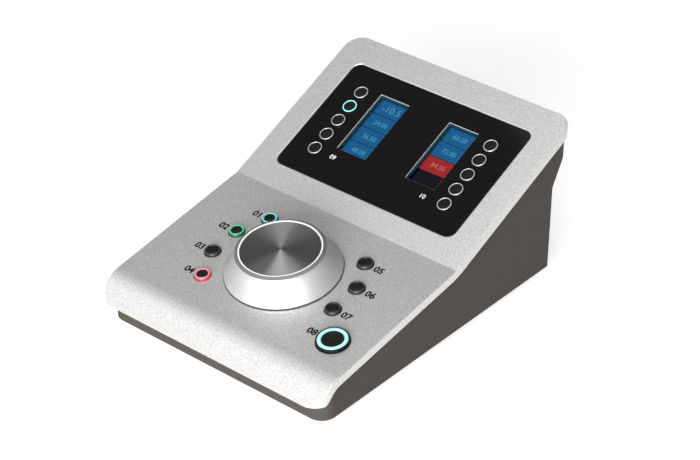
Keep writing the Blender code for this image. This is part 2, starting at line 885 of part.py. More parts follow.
def make_knob(body_material, disc_material, steel, lower_panel):
    """Make the knob, the spun disc let into its top and the encoder's shaft in its hub."""
    knob_axis = add_frame("knob_axis", (0, knob_place, 0), 0)
    knob_axis.parent = lower_panel
    body_mesh = turned_mesh("knob_body", knob_profile(), knob_segments)
    add_object("knob_body", body_mesh, body_material, knob_axis)
    floor = knob_shoulder_height + knob_chamfer_height - knob_disc_recess
    bottom = floor + clearance
    radius = knob_rim_radius - knob_rim_width - clearance
    disc = post_profile(radius, bottom, bottom + knob_disc_thickness)
    add_object("knob_disc", turned_mesh("knob_disc", disc, knob_segments), disc_material, knob_axis)
    foot = encoder_bushing_height - encoder_bore_depth + clearance
    flat_height = math.sqrt(shaft_radius**2 - (shaft_radius - shaft_flat) ** 2)
    start = math.atan2(flat_height, shaft_radius - shaft_flat)
    outline = arc((0, 0), shaft_radius, start, full_turn - start, screw_segments)
    shaft = prism_mesh("encoder_shaft", [outline], foot, floor)
    add_object("encoder_shaft", shaft, steel, knob_axis)


def make_encoder(body_material, nut_material, lower_panel):
    """Make the encoder on the board, its bushing through the cover, and the nut on it."""
    place = (0, knob_place, 0)
    half = encoder_width / 2
    bottom = -control_board_depth + clearance
    body_top = -cover_wall - clearance
    body_mesh = prism_mesh("encoder_body", [box_outline(-half, -half, half, half)], bottom, body_top)
    body = add_object("encoder_body", body_mesh, body_material, lower_panel, place)
    outline = circle_outline(encoder_bushing_radius, button_segments)
    bushing_mesh = prism_mesh("encoder_bushing", [outline], body_top - sink, encoder_bushing_height)
    boolean(body, add_object("encoder_bushing", bushing_mesh, parent=lower_panel, place=place), "UNION")
    bore = circle_outline(shaft_radius + clearance, button_segments)
    bore_bottom = encoder_bushing_height - encoder_bore_depth
    bore_mesh = prism_mesh("encoder_bore", [bore], bore_bottom, encoder_bushing_height + overrun)
    boolean(body, add_object("encoder_bore", bore_mesh, parent=lower_panel, place=place), "DIFFERENCE")
    corner = nut_width / 2 / math.cos(math.pi / hexagon_sides)
    hexagon = circle_outline(corner, hexagon_sides)
    nut_mesh = prism_mesh("encoder_nut", [hexagon], clearance, clearance + nut_thickness)
    nut = add_object("encoder_nut", nut_mesh, nut_material, lower_panel, place)
    thread = circle_outline(encoder_bushing_radius + clearance, nut_bore_segments)
    thread_mesh = prism_mesh("nut_thread", [thread], -overrun, nut_thickness + overrun)
    boolean(nut, add_object("nut_thread", thread_mesh, parent=lower_panel, place=place), "DIFFERENCE")


# Circuit boards and the flat cables between them

def add_blocks(board, name, blocks, parent=None):
    """Join blocks of (x, y, width, length, bottom, top) to a board."""
    shape = bmesh.new()
    for x, y, width, length, bottom, top in blocks:
        outline = box_outline(x - width / 2, y - length / 2, x + width / 2, y + length / 2)
        extrude_points(shape, [(px, py, bottom) for px, py in outline], Vector((0, 0, top - bottom)))
    boolean(board, add_object(name, finish_mesh(name, shape), parent=parent), "UNION")


def switch_blocks(places, board_surface):
    """Return one switch body for each place, standing on a board."""
    return [
        (x, y, switch_width, switch_width, board_surface - sink, board_surface + switch_height)
        for x, y in places
    ]


def make_display_board(material, upper_panel):
    """Make the board behind the lens, with ten key switches and a header below it."""
    top = -board_top_depth
    bottom = top - board_thickness
    half = lens_width / 2 - display_board_inset
    low = lens_start + display_board_inset
    high = lens_start + lens_length - display_board_inset
    outline = rounded_outline(half, low, high, board_corner_radius)
    mesh = prism_mesh("display_board", [outline], bottom, top)
    board = add_object("display_board", mesh, material, upper_panel)
    blocks = switch_blocks(key_places(), top)
    add_blocks(board, "key_switches", blocks, upper_panel)
    header = (0, display_header_place, header_width, header_length, bottom - header_height, bottom + sink)
    add_blocks(board, "display_header", [header], upper_panel)


def make_control_board(material, lower_panel):
    """Make the board under the lower panel, with eight switches and a header below it."""
    top = -control_board_depth
    bottom = top - board_thickness
    half = control_board_width / 2
    outline = rounded_outline(half, -control_board_front, -control_board_back, board_corner_radius)
    mesh = prism_mesh("control_board", [outline], bottom, top)
    board = add_object("control_board", mesh, material, lower_panel)
    places = button_places() + [(talk_across, talk_place)]
    add_blocks(board, "button_switches", switch_blocks(places, top), lower_panel)
    header = (0, control_header_place, header_width, header_length, bottom - header_height, bottom + sink)
    add_blocks(board, "control_header", [header], lower_panel)
    hole = board_screw_radius + clearance
    holes = [circle_outline(hole, screw_segments, place) for place in board_screw_places]
    hole_mesh = prism_mesh("control_drills", holes, bottom - overrun, top + overrun)
    boolean(board, add_object("control_drills", hole_mesh, parent=lower_panel), "DIFFERENCE")


def make_board_screws(material, lower_panel):
    """Place the four small screws that hold the control board to the cover's bosses."""
    profile = screw_profile(
        board_screw_radius,
        board_screw_length + board_thickness,
        board_screw_head_radius,
        board_screw_head_height,
    )
    mesh = turned_mesh("board_screw", profile, screw_segments)
    seat = -control_board_depth - board_thickness - clearance
    names = ("back_left", "front_left", "back_right", "front_right")
    for name, (x, y) in zip(names, board_screw_places):
        add_object(f"board_screw_{name}", mesh, material, lower_panel, (x, y, seat))


def board_bottom():
    """Return the height of the main board's underside, on its posts."""
    return plate_top_z + post_height + clearance


def board_top():
    """Return the height of the main board's upper face."""
    return board_bottom() + board_thickness


def make_main_board(material):
    """Make the board on the bottom plate, which carries both sockets."""
    half = main_board_width / 2
    outline = rounded_outline(half, main_board_front, main_board_back, board_corner_radius)
    mesh = prism_mesh("main_board", [outline], board_bottom(), board_top())
    board = add_object("main_board", mesh, material)
    blocks = [
        (0, y, header_width, header_length, board_top() - sink, board_top() + header_height)
        for y in (control_ribbon_start, display_ribbon_start)
    ]
    add_blocks(board, "main_headers", blocks)


def ribbon_outline(start, start_slope, end, end_slope):
    """Return the side outline of a flat cable that leaves two headers squarely.

    The middle line is a cubic curve whose handles stand square on both headers.
    """
    leave = ribbon_reach * Vector((-math.sin(start_slope), math.cos(start_slope)))
    arrive = ribbon_reach * Vector((math.sin(end_slope), -math.cos(end_slope)))
    first = Vector(start)
    second = first + leave
    fourth = Vector(end)
    third = fourth + arrive
    left = []
    right = []
    for step in range(ribbon_steps + 1):
        t = step / ribbon_steps
        u = 1 - t
        point = u**3 * first + 3 * u * u * t * second + 3 * u * t * t * third + t**3 * fourth
        tangent = u * u * (second - first) + 2 * u * t * (third - second) + t * t * (fourth - third)
        tangent.normalize()
        side = Vector((-tangent.y, tangent.x)) * ribbon_thickness / 2
        left.append(tuple(point + side))
        right.append(tuple(point - side))
    return left + right[::-1]


def make_ribbons(material):
    """Make the flat cables from the main board to the control and display boards."""
    low = board_top() + header_height + clearance
    depth = control_board_depth + board_thickness + header_height + clearance
    end = panel_point(lower_slope, control_header_place, depth)
    outline = ribbon_outline((control_ribbon_start, low), 0, end, lower_slope)
    add_object("control_ribbon", side_mesh("control_ribbon", outline, ribbon_width / 2), material)
    depth = board_top_depth + board_thickness + header_height + clearance
    end = panel_point(upper_slope, display_header_place, depth)
    outline = ribbon_outline((display_ribbon_start, low), 0, end, upper_slope)
    add_object("display_ribbon", side_mesh("display_ribbon", outline, ribbon_width / 2), material)


# Sockets

def socket_box(across, width, floor, height, gap):
    """Return the front view of a socket's body, widened by a gap."""
    half = width / 2 + gap
    return box_outline(across - half, floor - gap, across + half, floor + height + gap)


def make_network_jack(material):
    """Make the network socket with its stepped opening for the plug and its latch."""
    floor = board_top() + clearance
    face = base_lower_back_y
    body = socket_box(network_across, network_width, floor, network_height, 0)
    mesh = front_mesh("network_jack", body, face - network_length, face)
    jack = add_object("network_jack", mesh, material)
    low = floor + network_socket_lift
    middle = low + network_latch_height
    high = middle + network_socket_height
    half = network_socket_width / 2
    latch = network_latch_width / 2
    outline = [
        (network_across - latch, low),
        (network_across + latch, low),
        (network_across + latch, middle),
        (network_across + half, middle),
        (network_across + half, high),
        (network_across - half, high),
        (network_across - half, middle),
        (network_across - latch, middle),
    ]
    cut = front_mesh("network_socket", outline, face - network_socket_depth, face + overrun)
    boolean(jack, add_object("network_socket", cut), "DIFFERENCE")


def make_power_inlet(material):
    """Make the round power inlet with its centre pin."""
    floor = board_top() + clearance
    face = base_lower_back_y
    body = socket_box(-power_across, power_width, floor, power_height, 0)
    mesh = front_mesh("power_inlet", body, face - power_length, face)
    inlet = add_object("power_inlet", mesh, material)
    middle = floor + power_height / 2
    floor_depth = -power_bore_depth
    bore = [
        (power_pin_radius, floor_depth),
        (power_bore_radius, floor_depth),
        (power_bore_radius, overrun),
        (0, overrun),
        (0, -power_pin_setback),
        (power_pin_radius, -power_pin_setback),
    ]
    bore_mesh = turned_mesh("power_bore", bore, button_segments)
    bore_mesh.transform(Matrix.Rotation(-quarter_turn, 4, "X"))
    cut = add_object("power_bore", bore_mesh, place=(-power_across, face, middle))
    boolean(inlet, cut, "DIFFERENCE")


# Assembly

for old in list(bpy.data.objects):
    bpy.data.objects.remove(old)

silver = make_material("silver paint", (0.60, 0.60, 0.59), 0.38, 0.6)
dark_shell = make_material("dark grey shell", (0.098, 0.089, 0.083), 0.55)
plate_steel = make_material("black plate", (0.03, 0.03, 0.03), 0.5, 0.6)
rubber = make_material("foot rubber", (0.02, 0.02, 0.02), 0.85)
screw_steel = make_material("black screw steel", (0.05, 0.05, 0.05), 0.4, 0.9)
gloss_black = make_material("gloss black lens", (0.010, 0.008, 0.008), 0.06)
display_glass = make_material("display glass", (0.007, 0.16, 0.45), 0.12)
black_cap = make_material("black button", (0.012, 0.012, 0.012), 0.35)
cyan_light = make_material("cyan light", (0.12, 0.85, 0.90), 0.3)
green_light = make_material("green light", (0.05, 0.50, 0.22), 0.3)
red_light = make_material("red light", (0.90, 0.12, 0.16), 0.3)
unlit_ring = make_material("unlit ring", (0.03, 0.03, 0.03), 0.3)
bezel_black = make_material("black bezel", (0.015, 0.015, 0.015), 0.3)
knob_silver = make_material("turned aluminium", (0.72, 0.72, 0.71), 0.25, 1.0)
disc_silver = make_material("spun aluminium", (0.45, 0.45, 0.45), 0.3, 1.0)
steel = make_material("bright steel", (0.55, 0.55, 0.53), 0.3, 1.0)
board_green = make_material("green board", (0.02, 0.12, 0.05), 0.45)
cable_grey = make_material("grey flat cable", (0.45, 0.45, 0.45), 0.6)
socket_black = make_material("black socket", (0.02, 0.02, 0.02), 0.5)
capsule_metal = make_material("capsule metal", (0.40, 0.40, 0.38), 0.4, 1.0)

lower_frame = add_frame("lower_panel", (0, crease_y, crease_z), lower_slope)
upper_frame = add_frame("upper_panel", (0, crease_y, crease_z), upper_slope)

top_cover = make_cover_plate(silver)
cut_cover(top_cover, lower_frame, upper_frame)

base_housing = make_base(dark_shell)
add_base_bosses(base_housing)
cut_back_wall(base_housing)
make_bottom_plate(plate_steel)
make_feet(rubber)
make_base_screws(screw_steel)

make_lens(gloss_black, upper_frame)
make_display("left_display", -window_across, display_glass, upper_frame)
make_display("right_display", window_across, display_glass, upper_frame)
make_microphone(capsule_metal, upper_frame)
make_keys(black_cap, cyan_light, upper_frame)

left_lights = [cyan_light, green_light, unlit_ring, red_light]
make_buttons(left_lights + 3 * [unlit_ring], black_cap, lower_frame)
make_talk_button(bezel_black, cyan_light, black_cap, lower_frame)
make_knob(knob_silver, disc_silver, steel, lower_frame)
make_encoder(socket_black, steel, lower_frame)

make_display_board(board_green, upper_frame)
make_control_board(board_green, lower_frame)
make_board_screws(screw_steel, lower_frame)
make_main_board(board_green)
make_ribbons(cable_grey)
make_network_jack(socket_black)
make_power_inlet(socket_black)
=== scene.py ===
import math

import bpy
import numpy as np
from mathutils import Matrix, Vector
from mathutils.geometry import tessellate_polygon


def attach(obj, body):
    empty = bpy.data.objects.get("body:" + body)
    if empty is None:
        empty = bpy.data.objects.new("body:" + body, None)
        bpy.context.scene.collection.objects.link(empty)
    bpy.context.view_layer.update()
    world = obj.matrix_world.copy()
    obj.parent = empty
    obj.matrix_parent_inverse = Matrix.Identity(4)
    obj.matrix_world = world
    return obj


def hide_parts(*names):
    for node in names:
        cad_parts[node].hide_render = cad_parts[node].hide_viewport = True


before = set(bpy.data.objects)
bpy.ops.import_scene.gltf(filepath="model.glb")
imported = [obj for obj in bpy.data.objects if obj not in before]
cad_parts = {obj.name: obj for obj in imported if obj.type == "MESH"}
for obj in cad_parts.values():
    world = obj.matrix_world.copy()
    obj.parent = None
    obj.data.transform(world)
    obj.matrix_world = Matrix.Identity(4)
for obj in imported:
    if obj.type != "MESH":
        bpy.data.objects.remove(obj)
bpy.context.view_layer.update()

scene = bpy.context.scene


# Base housing
#
# The dark wedge under the cover: four walls of 2.5 mm plastic moulded in one piece, stepped in at the
# back, with a fine matt grain. It stands on its feet and its top edge is hidden under the cover.

cover_width = 0.1512
cover_height = 0.090
lower_panel_depth = 0.1085
front_height = 0.0253
lower_lip = 0.0151
upper_slope = math.radians(24.6)
upper_panel_length = 0.1104
back_y = (lower_panel_depth + upper_panel_length * math.cos(upper_slope)) / 2
front_y = -back_y
crease_y = front_y + lower_panel_depth
crease_z = cover_height - upper_panel_length * math.sin(upper_slope)
lower_slope = math.atan2(crease_z - front_height, lower_panel_depth)
lower_panel_length = lower_panel_depth / math.cos(lower_slope)
plate_thickness = 0.0055
gap = 0.0003
upper_bend = 0.003
under_bend = 0.0345
bend_steps = 8
nose_radius = 0.0165
nose_slope = math.radians(47.5)


def unit(vectors):
    """Vectors divided by their own lengths."""
    return vectors / np.maximum(np.linalg.norm(vectors, axis=-1, keepdims=True), 1e-12)


def lifted(flat, height):
    """Flat points or directions with a third value, one for all or one for each."""
    height = np.broadcast_to(height, flat.shape[:-1])
    return np.concatenate([flat, height[..., None]], axis=-1)


def moved(part, turn, shift):
    """A part whose points and normals are multiplied by a matrix, and whose points are then shifted."""
    turn = np.array(turn, float)
    return (part[0] @ turn + shift, part[1] @ turn, *part[2:])


def on_panel(part, slope):
    """Turn a part made on a flat panel to its slope and move its zero to the crease.

    A point (across, along, lift) goes to the crease plus along times the panel's direction plus lift
    times its normal.
    """
    sine, cosine = math.sin(slope), math.cos(slope)
    return moved(part, [[1, 0, 0], [0, cosine, sine], [0, -sine, cosine]], (0, crease_y, crease_z))


def nose_axis():
    """The axis of the nose's bend lies one radius below the lower panel and below the nose's face."""
    y = crease_y + nose_radius * math.sin(lower_slope)
    z = crease_z - nose_radius * math.cos(lower_slope)
    below = (y - front_y) * math.sin(nose_slope) - (z - lower_lip) * math.cos(nose_slope)
    along = (nose_radius - below) / math.sin(nose_slope - lower_slope)
    return y + along * math.cos(lower_slope), z + along * math.sin(lower_slope)


def bend_axis(bend):
    """The axis of the hollow bend lies on the line that halves the angle between the two panels."""
    middle = (upper_slope + lower_slope) / 2
    reach = bend / math.cos((upper_slope - lower_slope) / 2)
    return crease_y - reach * math.sin(middle), crease_z + reach * math.cos(middle)


nose_y, nose_z = nose_axis()


def side_face(y, depth, bend):
    """Height and normal of the cover's side curve at a depth below its face.

    From the back to the front: the upper panel's line, a hollow bend whose radius is bend plus depth, the
    lower panel's line, the nose's bend, whose radius is nose_radius minus depth, and its flat face.
    """
    y, depth = np.broadcast_arrays(np.asarray(y, float), np.asarray(depth, float))
    bend_y, bend_z = bend_axis(bend)
    hollow = bend + depth
    round_nose = nose_radius - depth
    upper, lower = (crease_z + (y - crease_y) * math.tan(slope) - depth / math.cos(slope)
                    for slope in (upper_slope, lower_slope))
    sine = np.clip((y - bend_y) / hollow, -1, 1)
    bent = bend_z - hollow * np.sqrt(1 - sine**2)
    nose_sine = np.clip((y - nose_y) / round_nose, -1, 1)
    nose = nose_z + round_nose * np.sqrt(1 - nose_sine**2)
    zones = [
        y >= bend_y + hollow * math.sin(upper_slope),
        y >= bend_y + hollow * math.sin(lower_slope),
        y >= nose_y - round_nose * math.sin(lower_slope),
        y >= nose_y - round_nose * math.sin(nose_slope),
    ]
    face = lower_lip + (y - front_y) * math.tan(nose_slope) - depth / math.cos(nose_slope)
    height = np.select(zones, [upper, bent, lower, nose], face)
    tilts = [-math.sin(upper_slope), -sine, -math.sin(lower_slope), nose_sine]
    tilt = np.select(zones, tilts, -math.sin(nose_slope))
    return height, np.stack([np.zeros_like(tilt), tilt, np.sqrt(1 - tilt**2)], axis=-1)


def bend_places(depth, bend):
    """Places in y where the side curve's hollow bend at a depth has evenly spaced slopes."""
    slopes = np.linspace(upper_slope, lower_slope, bend_steps + 1)
    return bend_axis(bend)[0] + (bend + depth) * np.sin(slopes)


def swing(first, second, steps):
    """Normals that turn evenly from one direction to another, one row for each step."""
    angle = np.maximum(np.arccos(np.clip((first * second).sum(-1), -1, 1)), 1e-6)[None, ..., None]
    share = np.linspace(0, 1, steps + 1)[:, None, None]
    return unit(np.sin((1 - share) * angle) * first[None] + np.sin(share * angle) * second[None])


def rounded(corners, radii, steps=6):
    """Round the corners of an open profile whose solid lies on its left, and give its normals.

    Each corner becomes an arc: its centre lies inwards by the radius on the corner's bisector, and a
    point is that centre plus the radius times a normal that swings evenly between the two sides' normals.
    A radius below zero marks a point of a smooth curve, which keeps its place and a mean normal.
    """
    corners, radii = np.asarray(corners, float), np.asarray(radii, float)
    sides = unit(np.diff(corners, axis=0))
    across = np.stack([sides[:, 1], -sides[:, 0]], axis=1)
    first, second = across[:-1], across[1:]
    smooth = (radii < 0)[:, None]
    mean = unit(first + second)
    first, second = np.where(smooth, mean, first), np.where(smooth, mean, second)
    turning = sides[:-1, 0] * sides[1:, 1] - sides[:-1, 1] * sides[1:, 0]
    signed = np.where(radii < 0, 0, radii) * np.where(turning < 0, -1, 1)
    cosine = np.clip((first * second).sum(1), -1, 1)
    centre = corners[1:-1] - (signed / (1 + cosine))[:, None] * (first + second)
    normals = swing(first, second, steps).transpose(1, 0, 2)
    points = centre[:, None] + signed[:, None, None] * normals
    points = np.concatenate([corners[:1], points.reshape(-1, 2), corners[-1:]])
    normals = np.concatenate([across[:1], normals.reshape(-1, 2), across[-1:]])
    moves = np.abs(np.diff(np.hstack([points, normals]), axis=0)).sum(1) > 1e-7
    keep = np.concatenate([[True], moves])
    return points[keep], normals[keep]


def grid(points, normals, mark=0):
    """A sheet of quads over a grid of points, with its place along rows and columns kept as its map.

    The mark picks the material: one number for all quads or one for each row of them.
    """
    rows, columns = points.shape[:2]
    index = np.arange(rows * columns).reshape(rows, columns)
    quads = np.stack([index[:-1, :-1], index[:-1, 1:], index[1:, 1:], index[1:, :-1]], axis=-1)
    surface = np.stack(np.meshgrid(np.linspace(0, 1, columns), np.linspace(0, 1, rows)), axis=-1)
    marks = np.broadcast_to(np.reshape(mark, (-1, 1)), quads.shape[:2]).ravel()
    points, normals = points.reshape(-1, 3), np.broadcast_to(normals, points.shape).reshape(-1, 3)
    return points, normals, quads.reshape(-1, 4), surface.reshape(-1, 2), marks


def closed_grid(points, normals, mark=0):
    """A sheet of quads whose last column is joined to its first."""
    normals = np.broadcast_to(normals, points.shape)
    return grid(*(np.concatenate([rows, rows[:, :1]], axis=1) for rows in (points, normals)), mark)


def fill(loops, height, up=1, mark=0):
    """A flat face at a height between closed loops: the first is its outline and the rest are holes."""
    loops = [np.asarray(loop)[:, :2] for loop in loops]
    flat = np.concatenate(loops)
    outlines = [[Vector((*point, 0)) for point in loop * 1000] for loop in loops]
    triangles = np.array(tessellate_polygon(outlines))
    quads = np.concatenate([triangles, triangles[:, 2:]], axis=1)
    points = lifted(flat, height)
    normals = np.broadcast_to([0.0, 0.0, float(up)], points.shape)
    return points, normals, quads, flat, np.full(len(quads), mark)


def add_object(name, data):
    """A new object at the origin, in the scene."""
    thing = bpy.data.objects.new(name, data)
    scene.collection.objects.link(thing)
    return thing


def add_piece(name, parts, materials, slot, body, *nodes):
    """Join parts into one mesh: merge equal points, turn faces to their normals, drop empty faces."""
    sizes = np.cumsum([0] + [len(part[0]) for part in parts])
    points, normals, surface, marks = (np.concatenate([part[i] for part in parts]) for i in (0, 1, 3, 4))
    quads = np.concatenate([part[2] + size for part, size in zip(parts, sizes)])
    a, b, c, d = points[quads].transpose(1, 0, 2)
    wrong = (np.cross(c - a, d - b) * normals[quads].sum(1)).sum(1) < 0
    quads[wrong] = quads[wrong][:, ::-1]
    places, merged = np.unique(np.round(points, 7), axis=0, return_inverse=True)
    corners = merged.reshape(-1)[quads]
    keep = corners != np.roll(corners, -1, axis=1)
    whole = keep.sum(1) > 2
    keep, quads, corners = keep[whole], quads[whole], corners[whole]
    source = quads[keep]
    mesh = bpy.data.meshes.new(name)
    mesh.vertices.add(len(places))
    mesh.vertices.foreach_set("co", places.ravel())
    mesh.loops.add(len(source))
    mesh.loops.foreach_set("vertex_index", corners[keep])
    mesh.polygons.add(len(quads))
    mesh.polygons.foreach_set("loop_start", np.cumsum(np.concatenate([[0], keep.sum(1)[:-1]])))
    mesh.polygons.foreach_set("material_index", marks[whole].astype(int))
    mesh.polygons.foreach_set("use_smooth", np.ones(len(quads), bool))
    mesh.update(calc_edges=True)
    mesh.uv_layers.new(name="surface").data.foreach_set("uv", surface[source].ravel())
    mesh.normals_split_custom_set(unit(normals[source]))
    for material in materials:
        mesh.materials.append(material)
    piece = add_object(name, mesh)
    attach(piece, body)
    if nodes:
        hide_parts(*nodes)


def ways(angles):
    """Flat directions at angles from the first axis."""
    return np.stack([np.cos(angles), np.sin(angles)], axis=-1)


def outline(half, front, back, front_radius, back_radius, side_places, steps=24):
    """Centres, directions and radii round a rectangle with round corners, from its back right corner
    past the front to its back left corner. A point is its centre plus its radius times its direction."""
    back, back_radius = (np.asarray(value, float).reshape(-1, 1) for value in (back, back_radius))
    turn = np.linspace(0, math.pi / 2, steps + 1)
    angles = np.concatenate([turn[::-1], np.zeros(len(side_places)), -turn])
    column = np.arange(len(angles))
    at_back = column <= steps
    on_side = (column > steps) & (column <= steps + len(side_places))
    sides = np.zeros(len(angles))
    sides[on_side] = side_places
    radius = np.where(at_back, back_radius, front_radius)
    centre_y = np.where(at_back, back - back_radius, np.where(on_side, sides, front + front_radius))
    centre = np.stack([half - radius, centre_y], axis=-1)
    direction = np.broadcast_to(ways(angles), centre.shape)
    centre, direction = (
        np.concatenate([right, (right * (-1, 1))[:, ::-1]], axis=1) for right in (centre, direction))
    return centre, direction, np.concatenate([radius, radius[:, ::-1]], axis=1)[..., None]


def rectangle(x, y, width, length, radius, steps=8):
    """A closed loop round a rectangle with round corners, as centres, directions and a radius."""
    quarter = np.linspace(0, math.pi / 2, steps + 1)
    angles = np.concatenate([quarter + turn * math.pi / 2 for turn in range(4)])
    side = np.repeat([[1, 1], [-1, 1], [-1, -1], [1, -1]], steps + 1, axis=0)
    centre = (x, y) + side * (width / 2 - radius, length / 2 - radius)
    return centre, ways(angles), radius


def circle(x, y, radius, segments=64):
    """A closed loop round a circle, as its centre, directions and radius."""
    angles = np.linspace(0, 2 * math.pi, segments, endpoint=False)
    return np.broadcast_to([float(x), float(y)], (segments, 2)), ways(angles), radius


def spread(loop, offset=0):
    """A loop's points, moved outwards by an offset."""
    centre, direction, radius = loop
    return centre + (radius + offset) * direction


def band(loop, profile, mark=0):
    """Carry a profile of (offset outwards, height) round a loop."""
    offset, height, out, up = (value[:, None] for value in (*profile[0].T, *profile[1].T))
    points = lifted(spread(loop, offset[..., None]), height)
    return closed_grid(points, lifted(out[..., None] * loop[1], up), mark)


def straight(start, end, out):
    """Profile of a straight wall between two heights, which faces outwards, 1, or inwards, -1."""
    return np.array([[0, start], [0, end]]), np.array([[out, 0], [out, 0]], float)


base_half = cover_width / 2 - 0.0022
base_front = front_y + 0.0073
base_back = back_y - 0.0001
base_lower_back = base_back - 0.0131
base_wall = 0.0025
base_step_top = cover_height - 0.023
base_step_bottom = base_step_top - 0.014
base_step_round = 0.003
base_foot = 0.003
base_corner = 0.0085
base_back_corner = 0.0015
base_edge = 0.0004
window_corner = 0.0003
socket_floor = 0.0112
network_x, network_width, network_height = 0.020, 0.0160, 0.0135
power_x, power_width, power_height = -0.0444, 0.0090, 0.0110


def base_shell(inset, sign):
    """The walls' outer or inner face: at each height of the back's side profile stands a rounded
    rectangle whose back edge and back corners follow that profile, cut off under the cover."""
    profile = [(base_lower_back - inset, base_foot), (base_lower_back - inset, base_step_bottom),
               (base_back - inset, base_step_top), (base_back - inset, cover_height)]
    points, normals = rounded(profile, [base_step_round] * 2)
    split = len(points) // 2
    below, above = points[split - 1], points[split]
    slant = np.linspace(0.1, 0.9, 9)[:, None]
    points = np.concatenate([points[:split], below + slant * (above - below), points[split:]])
    normals = np.insert(normals, [split] * len(slant), normals[split], axis=0)
    rise = base_back - base_lower_back
    share = (points[:, 0] - points[0, 0]) / rise
    low_corner, high_corner = max(base_back_corner - inset, 0.0005), base_corner - inset
    corner = low_corner + (high_corner - low_corner) * share
    sides = bend_places(plate_thickness + gap, under_bend)
    centre, direction, radius = outline(
        base_half - inset, base_front + inset, points[:, 0], base_corner - inset, corner, sides)
    flat = centre + radius * direction
    roof = side_face(flat[..., 1], plate_thickness + gap, under_bend)[0]
    lean = (-normals[:, 1] / np.maximum(normals[:, 0], 0.1))[:, None]
    growth = (high_corner - low_corner) / rise
    out = direction[..., 1]
    at_back = np.maximum(out, 0)
    tilt = -lean * (at_back + growth * (1 - np.abs(direction[..., 0]) - at_back) * (out > 0))
    return lifted(flat, np.minimum(points[:, 1][:, None], roof)), unit(lifted(direction, tilt)) * sign


def upright(part, y, facing):
    """Stand a flat part in a wall: its second axis turns up to Z and its own normal turns to the back."""
    return moved(part, [[1, 0, 0], [0, 0, 1], [0, facing, 0]], (0, y, 0))


def base_parts():
    """All faces of the base: outer walls, inner walls, lower edge, upper edge and socket windows."""
    outer, outer_normals = base_shell(0, 1)
    inner, inner_normals = base_shell(base_wall, -1)
    edge_points, edge_normals = rounded(
        [(-base_wall, base_foot), (0, base_foot), (0, base_foot + 0.002)], [base_edge], 4)
    outer[0, :, 2] = base_foot + base_edge
    way = outer_normals[0, :, :2]
    edge = np.stack([lifted(outer[0, :, :2] + out * way, height) for out, height in edge_points[1:-1]])
    edge_normals = np.stack([lifted(way * out, up) for out, up in edge_normals[1:-1]])
    parts = []
    for shell, normals in ((outer, outer_normals), (inner, inner_normals)):
        points, normals, quads, surface, marks = closed_grid(shell, normals)
        back_panel = shell.shape[1] - 1
        quads, marks = (np.delete(values, back_panel, 0) for values in (quads, marks))
        parts.append((points, normals, quads, surface, marks))
    parts += [
        closed_grid(edge, edge_normals),
        closed_grid(np.stack([inner[0], edge[0]]), (0.0, 0.0, -1.0)),
        closed_grid(np.stack([outer[-1], inner[-1]]), (0.0, 0.0, 1.0)),
    ]
    sockets = (network_x, network_width, network_height), (power_x, power_width, power_height)
    windows = [rectangle(x, socket_floor + height / 2, width + 2 * gap, height + 2 * gap, window_corner, 3)
               for x, width, height in sockets]
    holes = [spread(window) for window in windows]
    for shell, y, facing in ((outer, base_lower_back, 1), (inner, base_lower_back - base_wall, -1)):
        panel = np.stack([shell[0, -1], shell[0, 0], shell[1, 0], shell[1, -1]])[:, [0, 2]]
        parts.append(upright(fill([panel] + holes, 0), y, facing))
    reveal = straight(0, -base_wall, -1)
    return parts + [upright(band(window, reveal), base_lower_back, 1) for window in windows]


def feed(tree, node, inputs):
    """Give a node's inputs their values, or links from other nodes' outputs."""
    for key, value in inputs.items():
        if isinstance(value, bpy.types.NodeSocket):
            tree.links.new(value, node.inputs[key])
        else:
            node.inputs[key].default_value = value


def add_node(tree, kind, inputs=(), **settings):
    """A new shader node with its settings and its inputs."""
    node = tree.nodes.new("ShaderNode" + kind)
    for key, value in settings.items():
        setattr(node, key, value)
    feed(tree, node, dict(inputs))
    return node


def grain_group():
    """A fine even grain on Object coordinates: noise put out as a shade and as a bumped normal."""
    group = bpy.data.node_groups.new("fine_grain", "ShaderNodeTree")
    for label, way, kind in (("Size", "INPUT", "Float"), ("Depth", "INPUT", "Float"),
                             ("Shade", "OUTPUT", "Float"), ("Normal", "OUTPUT", "Vector")):
        group.interface.new_socket(label, in_out=way, socket_type="NodeSocket" + kind)
    start, end = (group.nodes.new("NodeGroup" + way) for way in ("Input", "Output"))
    place = add_node(group, "TexCoord")
    inverse = add_node(group, "Math", {0: 1.0, 1: start.outputs["Size"]}, operation="DIVIDE")
    noise = add_node(group, "TexNoise", {
        "Vector": place.outputs["Object"], "Scale": inverse.outputs[0], "Detail": 2.0, "Roughness": 0.6})
    bump = add_node(group, "Bump", {
        "Strength": 1.0, "Distance": start.outputs["Depth"], "Height": noise.outputs["Fac"]})
    feed(group, end, {"Shade": noise.outputs["Fac"], "Normal": bump.outputs["Normal"]})
    return group


fine_grain = grain_group()


def finish(name, dark, light, roughness, size, depth, metallic=0.0, specular=0.5):
    """A material whose colour wanders between two near shades with the grain, which also bumps it.

    A shade is a colour, or one number for a grey.
    """
    material = bpy.data.materials.new(name)
    material.use_nodes = True
    tree = material.node_tree
    grain = add_node(tree, "Group", {"Size": size, "Depth": depth}, node_tree=fine_grain)
    share = add_node(tree, "MapRange", {"Value": grain.outputs["Shade"], "From Min": 0.3, "From Max": 0.7})
    mix = add_node(tree, "Mix", {
        "Factor": share.outputs["Result"], "A": (*np.broadcast_to(dark, 3), 1),
        "B": (*np.broadcast_to(light, 3), 1)}, data_type="RGBA")
    rough = add_node(tree, "MapRange", {
        "Value": grain.outputs["Shade"], "To Min": roughness * 1.12, "To Max": roughness * 0.88})
    feed(tree, tree.nodes["Principled BSDF"], {
        "Base Color": mix.outputs["Result"], "Roughness": rough.outputs["Result"],
        "Normal": grain.outputs["Normal"], "Metallic": metallic, "Specular IOR Level": specular})
    return material


